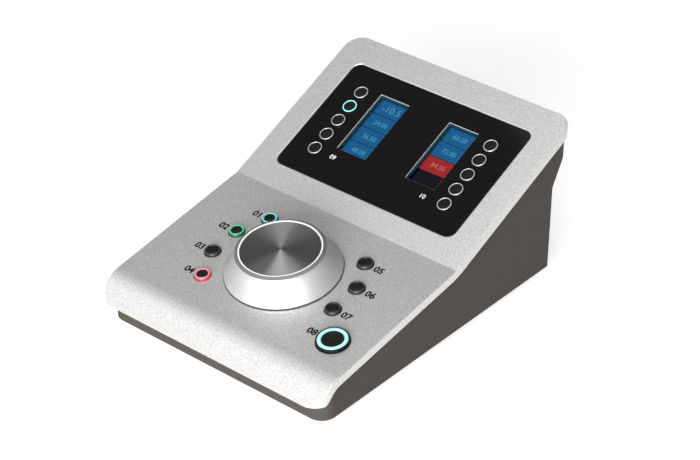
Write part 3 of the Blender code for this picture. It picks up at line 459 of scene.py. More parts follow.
base_finish = finish(
    "base_shell", (0.0375, 0.0325, 0.0298), (0.0485, 0.0425, 0.039), 0.75, 0.0006, 0.000012, specular=0.2)
add_piece("base_shell", base_parts(), [base_finish], "base_shell", "case", "base_housing")


# Bottom plate, feet and screws
#
# A black coated steel plate closes the base from below, held by four pan head screws. Four turned rubber
# feet are glued to it, so the case stands 3 mm above the desk. Four more screws hold the control board.

def dress(material, *names):
    """Give CAD nodes whose shape is right their material."""
    for name in names:
        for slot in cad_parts[name].material_slots:
            slot.material = material


black_coat = finish(
    "black_coat", (0.026, 0.026, 0.027), (0.036, 0.036, 0.037), 0.5, 0.0006, 0.00001, metallic=0.3)
foot_rubber = finish("foot_rubber", 0.014, 0.024, 0.8, 0.0005, 0.00002)
screw_steel = finish(
    "screw_steel", (0.040, 0.040, 0.042), (0.075, 0.075, 0.078), 0.38, 0.0003, 0.000004, metallic=0.9)
dress(black_coat, "bottom_plate")
foot_radius = 0.0075
foot_taper = 0.0008
foot_inset = 0.020
foot_rows = ("front", base_front + 0.028), ("back", base_lower_back - 0.030)
foot_profile = rounded([(0, 0), (foot_radius - foot_taper, 0), (foot_radius, base_foot), (0, base_foot)],
                       [0.0007, 0.0001], 5)
for side, sign in (("left", -1), ("right", 1)):
    for end, y in foot_rows:
        corner = f"_{end}_{side}"
        foot = band(circle(sign * (base_half - foot_inset), y, 0), foot_profile)
        add_piece("rubber_foot" + corner, [foot], [foot_rubber], "foot_rubber", "case", "foot" + corner)
        dress(screw_steel, "base_screw" + corner, "board_screw" + corner)


# Main board and sockets
#
# A green circuit board on the plate's posts carries a network socket and a round power inlet, whose faces
# lie flush in the back wall. Two flat cables rise from its headers to the boards above.

circuit_board = finish("circuit_board", (0.016, 0.10, 0.045), (0.026, 0.14, 0.06), 0.4, 0.002, 0.000004)
flat_cable = finish("flat_cable", 0.40, 0.50, 0.6, 0.0012, 0.00001)
socket_black = finish("socket_black", 0.016, 0.026, 0.5, 0.0005, 0.000008)
bright_steel = finish(
    "bright_steel", (0.50, 0.50, 0.49), (0.60, 0.60, 0.58), 0.3, 0.0004, 0.000003, metallic=1.0)
dress(circuit_board, "main_board", "control_board", "display_board")
dress(flat_cable, "control_ribbon", "display_ribbon")
dress(socket_black, "network_jack", "power_inlet", "encoder_body")
dress(bright_steel, "encoder_shaft", "encoder_nut")


# Contacts in the sockets
#
# Eight gold plated spring wires slant down from the network socket's roof, and a plated sleeve covers the
# power inlet's centre pin.

contact_count = 8
contact_pitch = 0.00102
contact_width, contact_thickness = 0.00045, 0.0002
socket_roof = 0.0226
contact_path = np.array([
    [0, -0.0025, 0], [0, -0.0035, -0.0001], [0, -0.0095, -0.0030], [0, -0.0105, -0.0030]])
pin_radius, pin_base, pin_tip = 0.00108, -0.0089, -0.0009


def wire(path, width, thick):
    """A flat wire: a rectangle carried along a path in a plane of constant x, with both ends closed.

    A point is the path's plus half the width along x and half the thickness along the path's normal.
    """
    along = unit(np.gradient(path, axis=0))
    across = np.stack([np.zeros(len(path)), -along[:, 2], along[:, 1]], axis=1)
    sign = np.array([[-1, -1], [1, -1], [1, 1], [-1, 1], [-1, -1]])[None]
    offset = sign[..., :1] * (width / 2, 0, 0) + sign[..., 1:] * across[:, None] * (thick / 2)
    points = path[:, None] + offset
    parts = [grid(points, unit(offset))]
    for end, way in ((0, -1), (-1, 1)):
        middle = np.broadcast_to(path[end], points[end].shape)
        parts.append(grid(np.stack([middle, points[end]]), way * along[end]))
    return parts


gold = finish("gold", (0.72, 0.45, 0.16), (0.82, 0.54, 0.22), 0.25, 0.0004, 0.000001, metallic=1.0)
contacts = []
for number in range(contact_count):
    x = network_x + (number - (contact_count - 1) / 2) * contact_pitch
    start = (x, base_lower_back, socket_roof - contact_thickness)
    contacts += wire(contact_path + start, contact_width, contact_thickness)
add_piece("network_contacts", contacts, [gold], "bright_steel", "case")

sleeve = rounded(
    [(0, pin_base), (pin_radius, pin_base), (pin_radius, pin_tip), (0, pin_tip)], [0.0001, 0.0005], 5)
pin = moved(band(circle(power_x, 0, 0, 32), sleeve), [[1, 0, 0], [0, 0, -1], [0, 1, 0]],
            (0, base_lower_back, socket_floor + power_height / 2))
add_piece("inlet_pin", [pin], [bright_steel], "bright_steel", "case")


# Cover
#
# One thick metal plate bent at the crease and rolled over at the nose, with rounded corners and a wide
# round along its rim. It is sprayed in a fine metallic silver paint.

rim_radius = 0.0007
lip_radius = 0.0005
tip_radius = 0.00025
tip_back = 0.00033
lip_round = 0.0025
cover_corner = 0.010
cover_wall = 0.0022
lens_width, lens_length = 0.1212, 0.0770
lens_low = 0.0155
lens_thickness = 0.0022
lens_corner = 0.0048
lens_ledge = 0.0035
seat_edge = 0.00045
hole_round = 0.0002
board_depth = 0.006
board_half = base_half - base_wall - 0.0055
board_front = lower_panel_length - 0.020
board_back = 0.008
pocket_gap = 0.003
pocket_corner = 0.005
knob_along = -0.434 * lower_panel_length
button_circle = 0.0423
button_step = math.radians(26)
ring_radius = 0.0044
talk_x = cover_width / 2 - 0.0193
talk_along = 0.0348 - lower_panel_length
talk_segments = 96
bezel_radius = 0.0088
bushing_radius = 0.0045

button_turns = {f"left_button_{row + 1}": math.pi - button_step * (1.5 - row) for row in range(4)}
button_turns.update({f"right_button_{row + 1}": button_step * (1.5 - row) for row in range(3)})
button_places = {
    name: (button_circle * math.cos(turn), knob_along + button_circle * math.sin(turn))
    for name, turn in button_turns.items()
}


def hole_edge(edge, depth):
    """Side profile of a hole: a small round at its mouth, then a wall down to a depth."""
    return rounded([(edge, 0), (0, 0), (0, -depth)], [edge], 5)


def lens_loop(offset, corner):
    """A rounded rectangle that stands off the lens's edge."""
    width, length = lens_width + 2 * offset, lens_length + 2 * offset
    return rectangle(0, lens_low + lens_length / 2, width, length, corner)


def under_face(y, ball):
    """Height and normal of the underside less a ball: the side curve, a round and the lip's flat edge.

    The round's axis lies lip_round above the flat edge and as far inside the nose's inner face.
    """
    height, normals = side_face(y, plate_thickness - ball, under_bend)
    drop = (plate_thickness - lip_round) / math.cos(nose_slope)
    axis = front_y + (lip_round + drop) / math.tan(nose_slope)
    radius = lip_round - ball
    sine = np.clip((y - axis) / radius, 0, 1)
    cosine = np.sqrt(1 - sine**2)
    on_round = y < axis + radius * math.sin(nose_slope)
    round_normals = np.stack([np.zeros_like(sine), sine, -cosine], axis=-1)
    height = np.where(on_round, lower_lip + lip_round - radius * cosine, height)
    return height, np.where(on_round[:, None], round_normals, -normals)


def cover_parts():
    """The rim and the edge below it are balls rolled round the plan: the ball touches the wall and the
    face, so its centre lies on the side curve at the ball's own depth. Faces between the rims are the two
    flat panels, with their holes, and rows straight across for the crease and the nose."""
    front = front_y + tip_back
    upper_rows = bend_places(rim_radius, upper_bend)
    lower_rows = bend_places(plate_thickness - lip_radius, under_bend)
    nose_start = nose_y - (nose_radius - rim_radius) * math.sin(lower_slope)
    inner_start = nose_y - (nose_radius - plate_thickness + lip_radius) * math.sin(lower_slope)
    nose_rows = np.linspace(nose_start, front + cover_corner, 8)[:-1]
    places = np.unique(np.concatenate([upper_rows, lower_rows, nose_rows, [inner_start]]))[::-1]
    places = places[(places < back_y - cover_corner) & (places > front + cover_corner)]
    centre, direction, radius = (value[0] for value in outline(
        cover_width / 2, front, back_y, cover_corner, cover_corner, places))
    edge = centre + radius * direction
    wall = lifted(direction, 0)
    forward = np.clip(-direction[:, 1], 0, 1)**6

    def rolled(radius, face, steps, way):
        """Rows on a ball rolled along the edge, from the face to the wall, or back where way is -1."""
        ball = radius + (tip_radius - radius) * forward
        inset = edge - ball[:, None] * direction
        height, face_normals = face(inset[:, 1], ball)
        normals = swing(*(face_normals, wall)[::way], steps)
        return lifted(inset, height) + ball[:, None] * normals, normals, face_normals

    def sides(line, first, last):
        """A line's values from one row to another, on the right and on the left."""
        return line[first:last + 1], line[::-1][first:last + 1]

    def zone(line, first, last, slope):
        """The loop round a flat face between two rows, as (across, along) on its panel."""
        right, left = sides(line, first, last)
        x, y, z = np.concatenate([right, left[::-1]]).T
        return np.stack([x, (y - crease_y) * math.cos(slope) + (z - crease_z) * math.sin(slope)], axis=1)

    def ruled(line, normals, first, last):
        """Rows straight across between both sides."""
        return grid(*(np.stack(sides(values, first, last), axis=1) for values in (line, normals)))

    rim, rim_normals, top_normals = rolled(rim_radius, lambda y, ball: side_face(y, ball, upper_bend), 8, 1)
    low_rim, low_normals, under_normals = rolled(lip_radius, under_face, 5, -1)
    top, under = rim[0], low_rim[-1]
    last = len(edge) // 2 - 1
    starts = (*upper_rows[[0, -1]], *lower_rows[[0, -1]], nose_rows[0], inner_start)
    bend_from, bend_to, hollow_from, hollow_to, nose_from, inner_from = (
        int(np.flatnonzero(np.isclose(edge[:last + 1, 1], start))[0]) for start in starts)

    seat = lens_loop(gap, lens_corner + gap)
    opening = lens_loop(-lens_ledge, lens_corner)
    seat_depth = lens_thickness + gap
    upper = [
        fill([zone(top, 0, bend_from, upper_slope), spread(seat, seat_edge)], 0),
        band(seat, hole_edge(seat_edge, seat_depth)),
        fill([spread(seat), spread(opening)], -seat_depth),
        band(opening, straight(-seat_depth, -plate_thickness, -1)),
        fill([zone(under, 0, hollow_from, upper_slope), spread(opening)], -plate_thickness, -1),
    ]

    holes = [circle(x, y, ring_radius + gap) for x, y in button_places.values()]
    holes.append(circle(talk_x, talk_along, bezel_radius + gap, talk_segments))
    holes.append(circle(0, knob_along, bushing_radius + gap))
    pocket = rectangle(0, -(board_front + board_back) / 2, 2 * (board_half + pocket_gap),
                       board_front - board_back + 2 * pocket_gap, pocket_corner)
    mouths = [spread(hole, hole_round) for hole in holes]
    lower = [
        fill([zone(top, bend_to, nose_from, lower_slope)] + mouths, 0),
        fill([spread(pocket)] + [spread(hole) for hole in holes], -cover_wall, -1),
        fill([zone(under, hollow_to, inner_from, lower_slope), spread(pocket)], -plate_thickness, -1),
        band(pocket, straight(-cover_wall, -plate_thickness, -1)),
    ]
    lower += [band(hole, hole_edge(hole_round, cover_wall)) for hole in holes]
    return [
        closed_grid(np.concatenate([rim, low_rim]), np.concatenate([rim_normals, low_normals])),
        *(on_panel(part, upper_slope) for part in upper),
        *(on_panel(part, lower_slope) for part in lower),
        ruled(top, top_normals, bend_from, bend_to),
        ruled(top, top_normals, nose_from, last),
        ruled(under, under_normals, hollow_from, hollow_to),
        ruled(under, under_normals, inner_from, last),
    ]


cover_silver = finish(
    "cover_silver", (0.43, 0.43, 0.42), (0.71, 0.71, 0.70), 0.42, 0.0007, 0.000013, metallic=0.8)
add_piece("silver_cover", cover_parts(), [cover_silver], "cover_silver", "case", "top_cover")


# Buttons and their light rings
#
# Each small button is a dished black cap inside a light ring of clear plastic, which stands on the switch
# board below and comes up through the cover. Three rings are lit.

ring_height = 0.0017
ring_edge = 0.0009
ring_glow = 0.6
button_radius = 0.0029
button_travel = 0.0006
button_edge, button_dish = 0.0003, 0.0003
switch_height = 0.0015
board_face = -board_depth + gap
cap_foot = -board_depth + switch_height + button_travel + gap


def glow(name, colour, strength, body=0.5, roughness=0.3):
    """A lit plastic: it gives out its colour unevenly over a body whose own colour is a share of it."""
    colour = np.array(colour)
    material = finish(name, colour * body * 0.9, colour * body, roughness, 0.0008, 0.000002)
    tree = material.node_tree
    place = add_node(tree, "TexCoord")
    noise = add_node(tree, "TexNoise", {"Vector": place.outputs["Object"], "Scale": 300.0})
    shade = add_node(tree, "Mix", {
        "Factor": noise.outputs["Fac"], "A": (*colour * 0.85, 1), "B": (*colour, 1)}, data_type="RGBA")
    feed(tree, tree.nodes["Principled BSDF"], {
        "Emission Color": shade.outputs["Result"], "Emission Strength": strength})
    return material


def cap_profile(radius, foot, top, edge, dish):
    """A round cap: a straight wall, a rounded edge and a shallow spherical dish."""
    share = np.linspace(1, 0, 9)[1:]
    hollow = np.column_stack([(radius - 2 * edge) * share, top - dish * (1 - share**2)])
    corners = np.concatenate([[(0, foot), (radius, foot), (radius, top), (radius - 2 * edge, top)], hollow])
    return rounded(corners, [0.0001, edge] + [-1] * (len(corners) - 4))


def ring_profile(inner, outer, foot, top, edge):
    """A tube with a flat foot and a rounded top edge, closed on itself."""
    middle = (inner + outer) / 2
    corners = [(middle, foot), (outer, foot), (outer, top), (inner, top), (inner, foot), (middle, foot)]
    return rounded(corners, [0.0001, edge, edge * 0.5, 0.0001])


def add_turned(name, place, profile, materials, slot, body, *nodes, mark=0, segments=64):
    """Turn a profile round an upright axis at a place on the lower panel, and add it as a piece."""
    part = on_panel(band(circle(*place, 0, segments), profile, mark), lower_slope)
    add_piece(name, [part], materials, slot, body, *nodes)


button_black = finish("button_black", 0.004, 0.008, 0.35, 0.0004, 0.000004, specular=0.15)
lights = {
    "ring_" + name: (glow("ring_" + name, top, ring_glow), glow(name + "_wall", wall, ring_glow))
    for name, top, wall in (("cyan", (0.21, 0.68, 0.70), (0.01, 0.09, 0.09)),
                            ("green", (0.09, 0.46, 0.27), (0.003, 0.09, 0.04)),
                            ("red", (0.66, 0.22, 0.26), (0.36, 0.04, 0.06)))
}
lights["ring_unlit"] = (finish("ring_unlit", 0.016, 0.024, 0.22, 0.0006, 0.000002),
                        finish("unlit_wall", 0.010, 0.018, 0.3, 0.0006, 0.000002, specular=0.3))
ring_lights = dict.fromkeys(button_places, "ring_unlit")
ring_lights.update(left_button_1="ring_cyan", left_button_2="ring_green", left_button_4="ring_red")
small_ring = ring_profile(button_radius + gap, ring_radius, board_face, ring_height, ring_edge)
small_cap = cap_profile(button_radius, cap_foot, ring_height, button_edge, button_dish)
on_wall = small_ring[1][1:, 0] > 0.7
for name, place in button_places.items():
    slot = ring_lights[name]
    add_turned(name + "_light", place, small_ring, lights[slot], slot, "case", name + "_ring", mark=on_wall)
    add_turned(name + "_cap", place, small_cap, [button_black], "button_cap", name, name)


# Talk button
#
# The large button at the front right: a black bezel pressed into the cover, a light ring inside it that
# glows pale cyan, and a wide dished cap.

bezel_wall = 0.0006
bezel_height = 0.0019
talk_ring_height = 0.0021
talk_ring_outer = bezel_radius - bezel_wall - gap
talk_ring_inner = talk_ring_outer - 0.0018
talk_travel = 0.0008
talk_foot = -board_depth + switch_height + talk_travel + gap
bezel_black = finish("bezel_black", 0.003, 0.005, 0.3, 0.0005, 0.000003, specular=0.1)
talk_light = glow("talk_light", (0.42, 0.80, 0.79), 0.55)
bezel = ring_profile(bezel_radius - bezel_wall, bezel_radius, board_face, bezel_height, 0.0003)
wide_ring = ring_profile(talk_ring_inner, talk_ring_outer, board_face, talk_ring_height, 0.0005)
wide_cap = cap_profile(talk_ring_inner - gap, talk_foot, bezel_height, 0.0004, 0.0006)
for name, profile, material, slot, body, node in (
        ("talk_bezel_ring", bezel, bezel_black, "talk_bezel", "case", "talk_bezel"),
        ("talk_light_ring", wide_ring, talk_light, "talk_light", "case", "talk_ring"),
        ("talk_cap", wide_cap, button_black, "button_cap", "talk_button", "talk_button")):
    add_turned(name, (talk_x, talk_along), profile, [material], slot, body, node, segments=talk_segments)


# Knob
#
# Turned from one piece of aluminium: a wide skirt that sweeps up in a hollow flare, a chamfer and a
# thin rim. The chamfer's grey is painted shade and the rim's near white is a painted highlight, on the
# same metal. A spun disc with fine turning lines is let into its top. A black ring under the skirt is
# painted shade: it stands where there is only shade, in the gap between the skirt and the cover.

knob_place = (0, knob_along)
skirt_radius = 0.0313
skirt_low = 0.0006
skirt_edge = 0.0009
shoulder_radius = 0.0241
shoulder_height = 0.0138
rim_top = shoulder_height + 0.0009
knob_rim = 0.0221
disc_radius = knob_rim - 0.0008
disc_recess = 0.0013
disc_thickness = 0.0007
disc_middle = 0.002
flare_power = 1.6
knob_wall = 0.0022
knob_segments = 192
hub_radius, hub_low = 0.006, 0.0042
shaft_radius = 0.003
# Size and place of a black ring of painted shade under the skirt, where there is only the gap's shade.
shade_ring_width = 0.003
shade_ring_margin = 0.0003
shade_ring_low, shade_ring_gap = 0.00002, 0.00008
groove_lean = 0.14


def knob_profile():
    """The knob's turned section: the flare's radius falls from the skirt's to the shoulder's with the
    1.6th power of the height left."""
    share = np.linspace(0, 1, 41)
    flare = np.column_stack([
        shoulder_radius + (skirt_radius - shoulder_radius) * (1 - share)**flare_power,
        skirt_low + skirt_edge + (shoulder_height - skirt_low - skirt_edge) * share,
    ])
    floor = rim_top - disc_recess
    ceiling = floor - knob_wall
    bore = shaft_radius + gap
    start = (skirt_radius - knob_wall, skirt_low)
    inner = [
        (knob_rim, rim_top), (disc_radius, rim_top), (disc_radius, floor), (bore, floor), (bore, hub_low),
        (hub_radius, hub_low), (hub_radius, ceiling), (shoulder_radius - 2 * knob_wall, ceiling),
        (skirt_radius - 2 * knob_wall, skirt_low + knob_wall), start,
    ]
    corners = np.concatenate([[start, (skirt_radius, skirt_low)], flare, inner])
    return rounded(corners, [0.0002] * 2 + [-1] * (len(flare) - 2) + [0.0002, 0.00015, 0.00015] + [0.0] * 7)


turned_aluminium = finish("turned_aluminium", 0.43, 0.50, 0.5, 0.0006, 0.000002, metallic=0.75)
# Painted shade: the chamfer is given a darker grey than the aluminium it is cut from.
chamfer_painted_shade = finish("chamfer_painted_shade", 0.13, 0.17, 0.5, 0.0006, 0.000002, metallic=0.5)
# Painted highlight: the thin rim is given a near white.
rim_bright = finish("rim_bright", 0.80, 0.88, 0.5, 0.0006, 0.000002, metallic=0.3)
# Near black, for the painted shade ring under the knob's skirt.
gap_shade = finish("gap_shade", 0.008, 0.020, 0.9, 0.0003, 0.00003)
spun_aluminium = finish("spun_aluminium", 0.20, 0.25, 0.38, 0.0005, 0.000001, metallic=1.0)
tree = spun_aluminium.node_tree
tangent = add_node(tree, "Tangent", direction_type="UV_MAP", uv_map="surface")
feed(tree, tree.nodes["Principled BSDF"], {
    "Tangent": tangent.outputs["Tangent"], "Anisotropic": 0.92, "Anisotropic Rotation": 0.25})

profile = knob_profile()
radius, height = ((profile[0][1:] + profile[0][:-1]) / 2).T
# Rows of the profile that take the painted shade on the chamfer and the painted highlight on the rim.
on_shaded_chamfer = (height > shoulder_height) & (radius > knob_rim)
on_highlit_rim = (height > rim_top - 0.0002) & (radius <= knob_rim) & (radius > disc_radius)
add_turned("turned_knob", knob_place, profile, [turned_aluminium, chamfer_painted_shade, rim_bright], "knob_body",
           "knob", "knob_body", mark=on_shaded_chamfer + 2 * on_highlit_rim, segments=knob_segments)
# The painted shade ring: a dark ring put in the gap under the skirt, where there is only shade.
shade_ring_profile = ring_profile(
    skirt_radius - shade_ring_width, skirt_radius + shade_ring_margin, shade_ring_low, skirt_low - shade_ring_gap, 0.0001)
add_turned("shade_ring", knob_place, shade_ring_profile, [gap_shade], "foot_rubber", "case", segments=knob_segments)

disc_low = rim_top - disc_recess + gap
disc_top = disc_low + disc_thickness
disc_edge = disc_radius - gap
points, normals = rounded(
    [(0, disc_low), (disc_edge, disc_low), (disc_edge, disc_top), (disc_middle, disc_top), (0, disc_top)],
    [0.0001, 0.0001, -1], 4)
disc = points, unit(normals + np.outer(normals[:, 1] > 0.9, (groove_lean, 0)))
add_turned("spun_disc", knob_place, disc, [spun_aluminium], "knob_disc", "knob", "knob_disc",
           segments=knob_segments)


# Printed numbers
#
# Plain black numbers screen-printed on the cover, one beside each button. Those on the lens and on the
# displays are made in the same way.

print_thickness = 0.00004
print_lift = 0.00001
digit_share = 0.72
number_height = 0.0042
number_offset = 0.0046
number_weight = 0.045


def printed(labels, slope, lift, mark=0, weight=0.015):
    """Plain numbers as thin slabs on a panel: the built-in letter shapes are made a mesh, and each is
    then moved so that its middle is at its place. A label is its text, across, along and height."""
    parts = []
    for body, across, along, height in labels:
        curve = bpy.data.curves.new("print", "FONT")
        curve.body = body
        curve.size = height / digit_share
        curve.resolution_u = 3
        curve.offset = height * weight
        curve.extrude = print_thickness / 2
        word = add_object("print", curve)
        mesh = bpy.data.meshes.new_from_object(word.evaluated_get(bpy.context.evaluated_depsgraph_get()))
        bpy.data.objects.remove(word)
        mesh.calc_loop_triangles()
        places, normals = np.empty(len(mesh.vertices) * 3), np.empty(len(mesh.loop_triangles) * 3)
        corners = np.empty(len(mesh.loop_triangles) * 3, int)
        mesh.vertices.foreach_get("co", places)
        mesh.loop_triangles.foreach_get("vertices", corners)
        mesh.loop_triangles.foreach_get("normal", normals)
        places = places.reshape(-1, 3)
        middle = (places.min(0) + places.max(0)) / 2
        points = (places - middle + (across, along, lift + print_thickness / 2))[corners]
        index = np.arange(len(corners)).reshape(-1, 3)
        quads = np.concatenate([index, index[:, 2:]], axis=1)
        normals = np.repeat(normals.reshape(-1, 3), 3, axis=0)
        parts.append(on_panel((points, normals, quads, points[:, :2], np.full(len(index), mark)), slope))
    return parts


ink_black = finish("ink_black", 0.004, 0.008, 0.6, 0.0003, 0.000002, specular=0.1)
number_places = [
    (x + (-1 if name.startswith("left") else 1) * (ring_radius + number_offset), along)
    for name, (x, along) in button_places.items()
]
number_places.append((talk_x - bezel_radius - number_offset, talk_along))
labels = [(f"{number:02d}", *place, number_height) for number, place in enumerate(number_places, 1)]
add_piece("cover_numbers", printed(labels, lower_slope, print_lift, weight=number_weight), [ink_black],
          "button_cap", "case")


# Display lens
#
# A polished black plate let flush into the upper panel, with two cut windows, ten key holes and a
# pinhole for the microphone behind it. Two small pale numbers are printed on it.

window_x = 0.390 * lens_width / 2
window_y = lens_low + 0.562 * lens_length
window_width, window_length = 0.0197, 0.0414
key_x = 0.734 * lens_width / 2
key_top = lens_low + 0.777 * lens_length
key_pitch = 0.1393 * lens_length
key_radius = 0.00405
mic_x, mic_y = -0.752 * lens_width / 2, lens_low + 0.103 * lens_length
mic_radius = 0.0006
lens_drop = 0.00025
lens_edge, hole_edge_round = 0.0003, 0.00008
clear_depth = 0.0008
lens_number_along, lens_number_height = 0.0319, 0.0028
key_places = {
    f"{side}_key_{row + 1}": (sign * key_x, key_top - row * key_pitch)
    for side, sign in (("left", -1), ("right", 1)) for row in range(5)
}


def lens_parts():
    """A plate between two levels: flat faces with holes, and edges carried round each loop."""
    thickness = lens_thickness - lens_drop
    border = lens_loop(0, lens_corner)
    windows = [rectangle(x, window_y, window_width, window_length, window_corner, 3)
               for x in (-window_x, window_x)]
    holes = [circle(x, y, key_radius + gap) for x, y in key_places.values()]
    holes.append(circle(mic_x, mic_y, mic_radius, 24))
    parts = [band(border, rounded([(0, -thickness), (0, 0), (-lens_edge, 0)], [lens_edge], 5))]
    for window in windows:
        parts.append(band(window, hole_edge(hole_edge_round, clear_depth), 1))
        parts.append(band(window, straight(-clear_depth, -thickness, -1), 2))
    parts += [band(hole, hole_edge(hole_edge_round, thickness)) for hole in holes]
    mouths = [spread(loop, hole_edge_round) for loop in windows + holes]
    parts.append(fill([spread(border, -lens_edge)] + mouths, 0))
    parts.append(fill([spread(loop) for loop in [border] + windows + holes], -thickness, -1))
    return [on_panel(moved(part, np.eye(3), (0, 0, -lens_drop)), upper_slope) for part in parts]


gloss_black = finish(
    "gloss_black", (0.0030, 0.0025, 0.0025), (0.0036, 0.0030, 0.0030), 0.06, 0.004, 0.0000002, specular=0.3)
clear_edge = finish("clear_edge", (0.20, 0.24, 0.24), (0.26, 0.31, 0.31), 0.3, 0.0008, 0.000002)
teal_edge = finish("teal_edge", (0.008, 0.022, 0.030), (0.012, 0.030, 0.040), 0.3, 0.0008, 0.000002)
capsule = finish("capsule", (0.36, 0.36, 0.35), (0.44, 0.44, 0.42), 0.4, 0.0004, 0.000004, metallic=1.0)
add_piece("black_lens", lens_parts(), [gloss_black, clear_edge, teal_edge], "display_lens", "case",
          "display_lens")
dress(capsule, "microphone")


# Displays
#
# Two small portrait displays behind the windows, each with four lit fields on dark glass, most of them
# with a plain number. A pale frame shows at the back and the left of the glass. The lens's own two
# numbers are printed last.

glass_depth = lens_thickness + gap + 0.0015
field_rise = 0.00005
field_pitch = window_length / 4
lowest_field = window_y - window_length / 2 + field_pitch / 2
field_width, field_length = window_width - 0.0006, field_pitch - 0.0004
field_digits, top_digits = 0.0030, 0.0044


def screen_parts(x, shades):
    """A module with a raised frame round its glass, and four fields laid a hair above the glass."""
    body, well = (rectangle(x, window_y, window_width + more, window_length + more, corner, 2)
                  for more, corner in ((0.004, 0.0003), (0.001, 0.0002)))
    fields = [rectangle(x, lowest_field + row * field_pitch, field_width, field_length, 0.0001, 2)
              for row in range(4)]
    top = -lens_thickness - gap
    raised = -glass_depth + field_rise
    parts = [
        band(body, straight(-plate_thickness, top, 1)), band(well, straight(top, -glass_depth, -1), 1),
        fill([spread(body), spread(well)], top, 1, 1),
        fill([spread(loop) for loop in [well] + fields], -glass_depth),
        fill([spread(body)], -plate_thickness, -1),
    ]
    side = straight(-glass_depth, raised, 1)
    for field, shade in zip(fields, shades):
        parts += [band(field, side, shade), fill([spread(field)], raised, 1, shade)]
    return [on_panel(part, upper_slope) for part in parts]


screen_finishes = [
    finish("screen_glass", (0.001, 0.001, 0.004), (0.002, 0.002, 0.007), 0.1, 0.002, 0.0000002),
    finish("screen_frame", (0.010, 0.030, 0.040), (0.016, 0.040, 0.052), 0.4, 0.001, 0.000002),
    glow("screen_blue", (0.003, 0.095, 0.25), 1.0, 0.05, 0.15),
    glow("screen_red", (0.31, 0.016, 0.018), 1.0, 0.05, 0.15),
    glow("screen_navy", (0.0, 0.0, 0.006), 1.0, 0.05, 0.15),
]
for side, x, shades in (("left", -window_x, (2, 2, 2, 2)), ("right", window_x, (4, 3, 2, 2))):
    add_piece(side + "_screen", screen_parts(x, shades), screen_finishes, "display_glass", "case",
              side + "_display")

screen_print = glow("screen_print", (0.045, 0.26, 0.46), 1.0, 0.05)
red_print = glow("red_print", (0.52, 0.10, 0.09), 1.0, 0.05)
screen_numbers = []
for text, x, row, height, mark in (
        ("48.00", -window_x, 0, field_digits, 0), ("36.50", -window_x, 1, field_digits, 0),
        ("24.00", -window_x, 2, field_digits, 0), ("-10.5", -window_x, 3, top_digits, 0),
        ("72.00", window_x, 2, field_digits, 0), ("60.50", window_x, 3, field_digits, 0),
        ("84.50", window_x, 1, field_digits, 1)):
    label = text, x, lowest_field + row * field_pitch, height
    screen_numbers += printed([label], upper_slope, -glass_depth + field_rise + print_lift, mark)
add_piece("screen_numbers", screen_numbers, [screen_print, red_print], "display_glass", "case")

lens_print = finish("lens_print", 0.45, 0.60, 0.5, 0.0003, 0.000002)
lens_labels = [
    (text, x, lens_number_along, lens_number_height) for text, x in (("09", -0.0316), ("10", 0.0304))]
add_piece("lens_numbers", printed(lens_labels, upper_slope, print_lift - lens_drop), [lens_print],
          "display_lens", "case")


# Screen keys
#
# Ten round keys of black plastic, each with a thin pale rim round a slightly domed cap. The second on the
# left is lit cyan.

key_height = 0.0009
key_travel = 0.0005
key_rim = 0.0006
key_stem = 0.002
key_foot = -plate_thickness - gap + switch_height + key_travel + gap


def key_parts(x, along):
    """Three bands round one axis: the stem and skirt, the rim with a rounded top, and the domed cap."""
    inner, dome_rise = key_radius - key_rim, 0.0003
    wall_top = key_height - 0.0004
    share = np.linspace(1, 0, 9)
    stem = rounded([(0, key_foot), (key_stem, key_foot), (key_stem, -lens_thickness),
                    (key_radius, -lens_thickness), (key_radius, wall_top)], [0.0, 0.0, 0.0001], 3)
    rim = rounded([(key_radius, wall_top), (key_radius, key_height), (inner, key_height),
                   (inner, key_height - dome_rise)], [0.0003, 0.0002], 5)
    dome = np.column_stack([inner * share, key_height - dome_rise * share**2])
    cap = rounded(dome, [-1] * (len(dome) - 2), 2)
    shaft = circle(x, along, 0, 48)
    return [on_panel(band(shaft, profile, mark), upper_slope)
            for profile, mark in ((stem, 0), (rim, 1), (cap, 0))]


key_black = finish("key_black", 0.004, 0.006, 0.5, 0.0005, 0.000003, specular=0.12)
rim_pale = finish("rim_pale", 0.30, 0.40, 0.3, 0.0006, 0.000002, metallic=0.5)
rim_cyan = glow("rim_cyan", (0.25, 0.85, 0.85), 0.7)
for name, place in key_places.items():
    rim, slot = (rim_cyan, "key_lit") if name == "left_key_2" else (rim_pale, "key_cap")
    add_piece(name + "_cap", key_parts(*place), [key_black, rim], slot, name, name)


# Floor, light and camera
#
# A wide white table in an even surround. A broad low lamp stands in front, a key lamp at the left front,
# and weaker ones stand high, above and behind. The camera looks down at the case from the front right.

table_half = 3.0
table_boost = 0.6
lit_reach, far_reach = 0.45, 1.2
sensor_width, picture_width = 36, 700

steps = np.linspace(-table_half, table_half, 9)
sheet = grid(lifted(np.stack(np.meshgrid(steps, steps), axis=-1), 0), np.array([0.0, 0.0, 1.0]))
mesh = bpy.data.meshes.new("table")
mesh.from_pydata(sheet[0].tolist(), [], sheet[2].tolist())
floor = add_object("table", mesh)


def either(tree, *outputs):
    """The largest of several outputs."""
    largest = outputs[0]
    for output in outputs[1:]:
        largest = add_node(tree, "Math", {0: largest, 1: output}, operation="MAXIMUM").outputs[0]
    return largest


table_white = bpy.data.materials.new("table_white")
table_white.use_nodes = True
mesh.materials.append(table_white)
tree = table_white.node_tree
sight = add_node(tree, "LightPath").outputs
seen = either(tree, sight["Is Camera Ray"], sight["Is Glossy Ray"], sight["Is Transmission Ray"])
boost = add_node(tree, "Math", {0: seen, 1: table_boost}, operation="MULTIPLY")
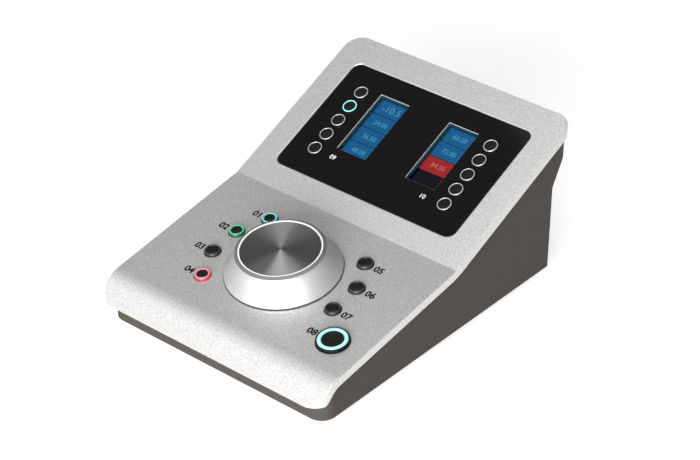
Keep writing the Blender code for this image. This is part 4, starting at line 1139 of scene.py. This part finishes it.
# The lamps don't reach far over the table, so its own white grows to 1 there, for the camera alone.
reach = add_node(tree, "VectorMath", {0: add_node(tree, "TexCoord").outputs["Object"]}, operation="LENGTH")
fade = add_node(tree, "MapRange", {
    "Value": reach.outputs["Value"], "From Min": lit_reach, "From Max": far_reach, "To Max": 1 - table_boost})
whole = add_node(tree, "Math", {
    0: sight["Is Camera Ray"], 1: fade.outputs["Result"], 2: boost.outputs[0]}, operation="MULTIPLY_ADD")
feed(tree, tree.nodes["Principled BSDF"], {
    "Base Color": (0.55, 0.55, 0.55, 1), "Roughness": 0.8, "Specular IOR Level": 0.0,
    "Emission Color": (1, 1, 1, 1), "Emission Strength": whole.outputs[0]})

world = bpy.data.worlds.new("studio")
scene.world = world
world.use_nodes = True
tree = world.node_tree
sight = add_node(tree, "LightPath").outputs
direction = add_node(tree, "SeparateXYZ", {"Vector": add_node(tree, "TexCoord").outputs["Generated"]})
sky = add_node(tree, "MapRange", {
    "Value": direction.outputs["Z"], "From Max": 0.7, "To Min": 0.7, "To Max": 0.18},
    interpolation_type="SMOOTHSTEP")
mirrored = either(tree, sight["Is Glossy Ray"], sight["Is Transmission Ray"])
in_mirror = add_node(tree, "Mix", {"Factor": mirrored, "A": 0.07, "B": sky.outputs["Result"]})
in_view = add_node(tree, "Mix", {
    "Factor": sight["Is Camera Ray"], "A": in_mirror.outputs["Result"], "B": 1.0})
feed(tree, tree.nodes["Background"], {"Color": (1, 1, 1, 1), "Strength": in_view.outputs["Result"]})

for name, direction, distance, width, height, power in (
        ("key_light", (-0.55, -0.65, 0.60), 2.0, 1.6, 1.4, 5.5),
        ("high_light", (-0.55, -0.38, 0.74), 2.0, 1.3, 1.1, 1.1),
        ("front_light", (0.45, -0.90, 0.25), 2.2, 2.2, 1.0, 156),
        ("top_light", (0.0, -0.15, 1.0), 1.6, 1.1, 1.1, 9.5),
        ("rear_light", (-0.35, 1.0, 0.22), 2.0, 1.8, 0.8, 9),
        ("back_light", (-0.40, 0.30, 0.86), 1.8, 0.6, 0.6, 0.5)):
    lamp = bpy.data.lights.new(name, "AREA")
    lamp.shape = "RECTANGLE"
    lamp.size, lamp.size_y, lamp.energy = width, height, power
    softbox = add_object(name, lamp)
    away = Vector(direction).normalized()
    softbox.location = away * distance
    softbox.rotation_mode = "QUATERNION"
    softbox.rotation_quaternion = away.to_track_quat("Z", "Y")

azimuth, elevation, roll = (math.radians(value) for value in (39.63985689, 32.413275996, 0.579636553))
distance, shift_x, shift_y, focal = 7.608843867, -0.461246445, -0.468346006, 2247.753464
view_unit = 0.150
aim = np.array([0.0, front_y + 0.007285, 0.003])
backward = np.array([
    math.sin(azimuth) * math.cos(elevation), -math.cos(azimuth) * math.cos(elevation), math.sin(elevation)])
right = unit(np.cross(-backward, [0, 0, 1]))
up = np.cross(right, -backward)
right, up = math.cos(roll) * right + math.sin(roll) * up, math.cos(roll) * up - math.sin(roll) * right
place = aim + view_unit * (backward * distance - right * shift_x - up * shift_y)
view = bpy.data.cameras.new("camera")
view.sensor_width = sensor_width
view.lens = sensor_width * focal / picture_width
view.clip_start, view.clip_end = 0.05, 20
camera = add_object("camera", view)
camera.matrix_world = Matrix(np.vstack([np.column_stack([right, up, backward, place]), [0, 0, 0, 1]]))
scene.camera = camera
scene.view_settings.view_transform = "Standard"
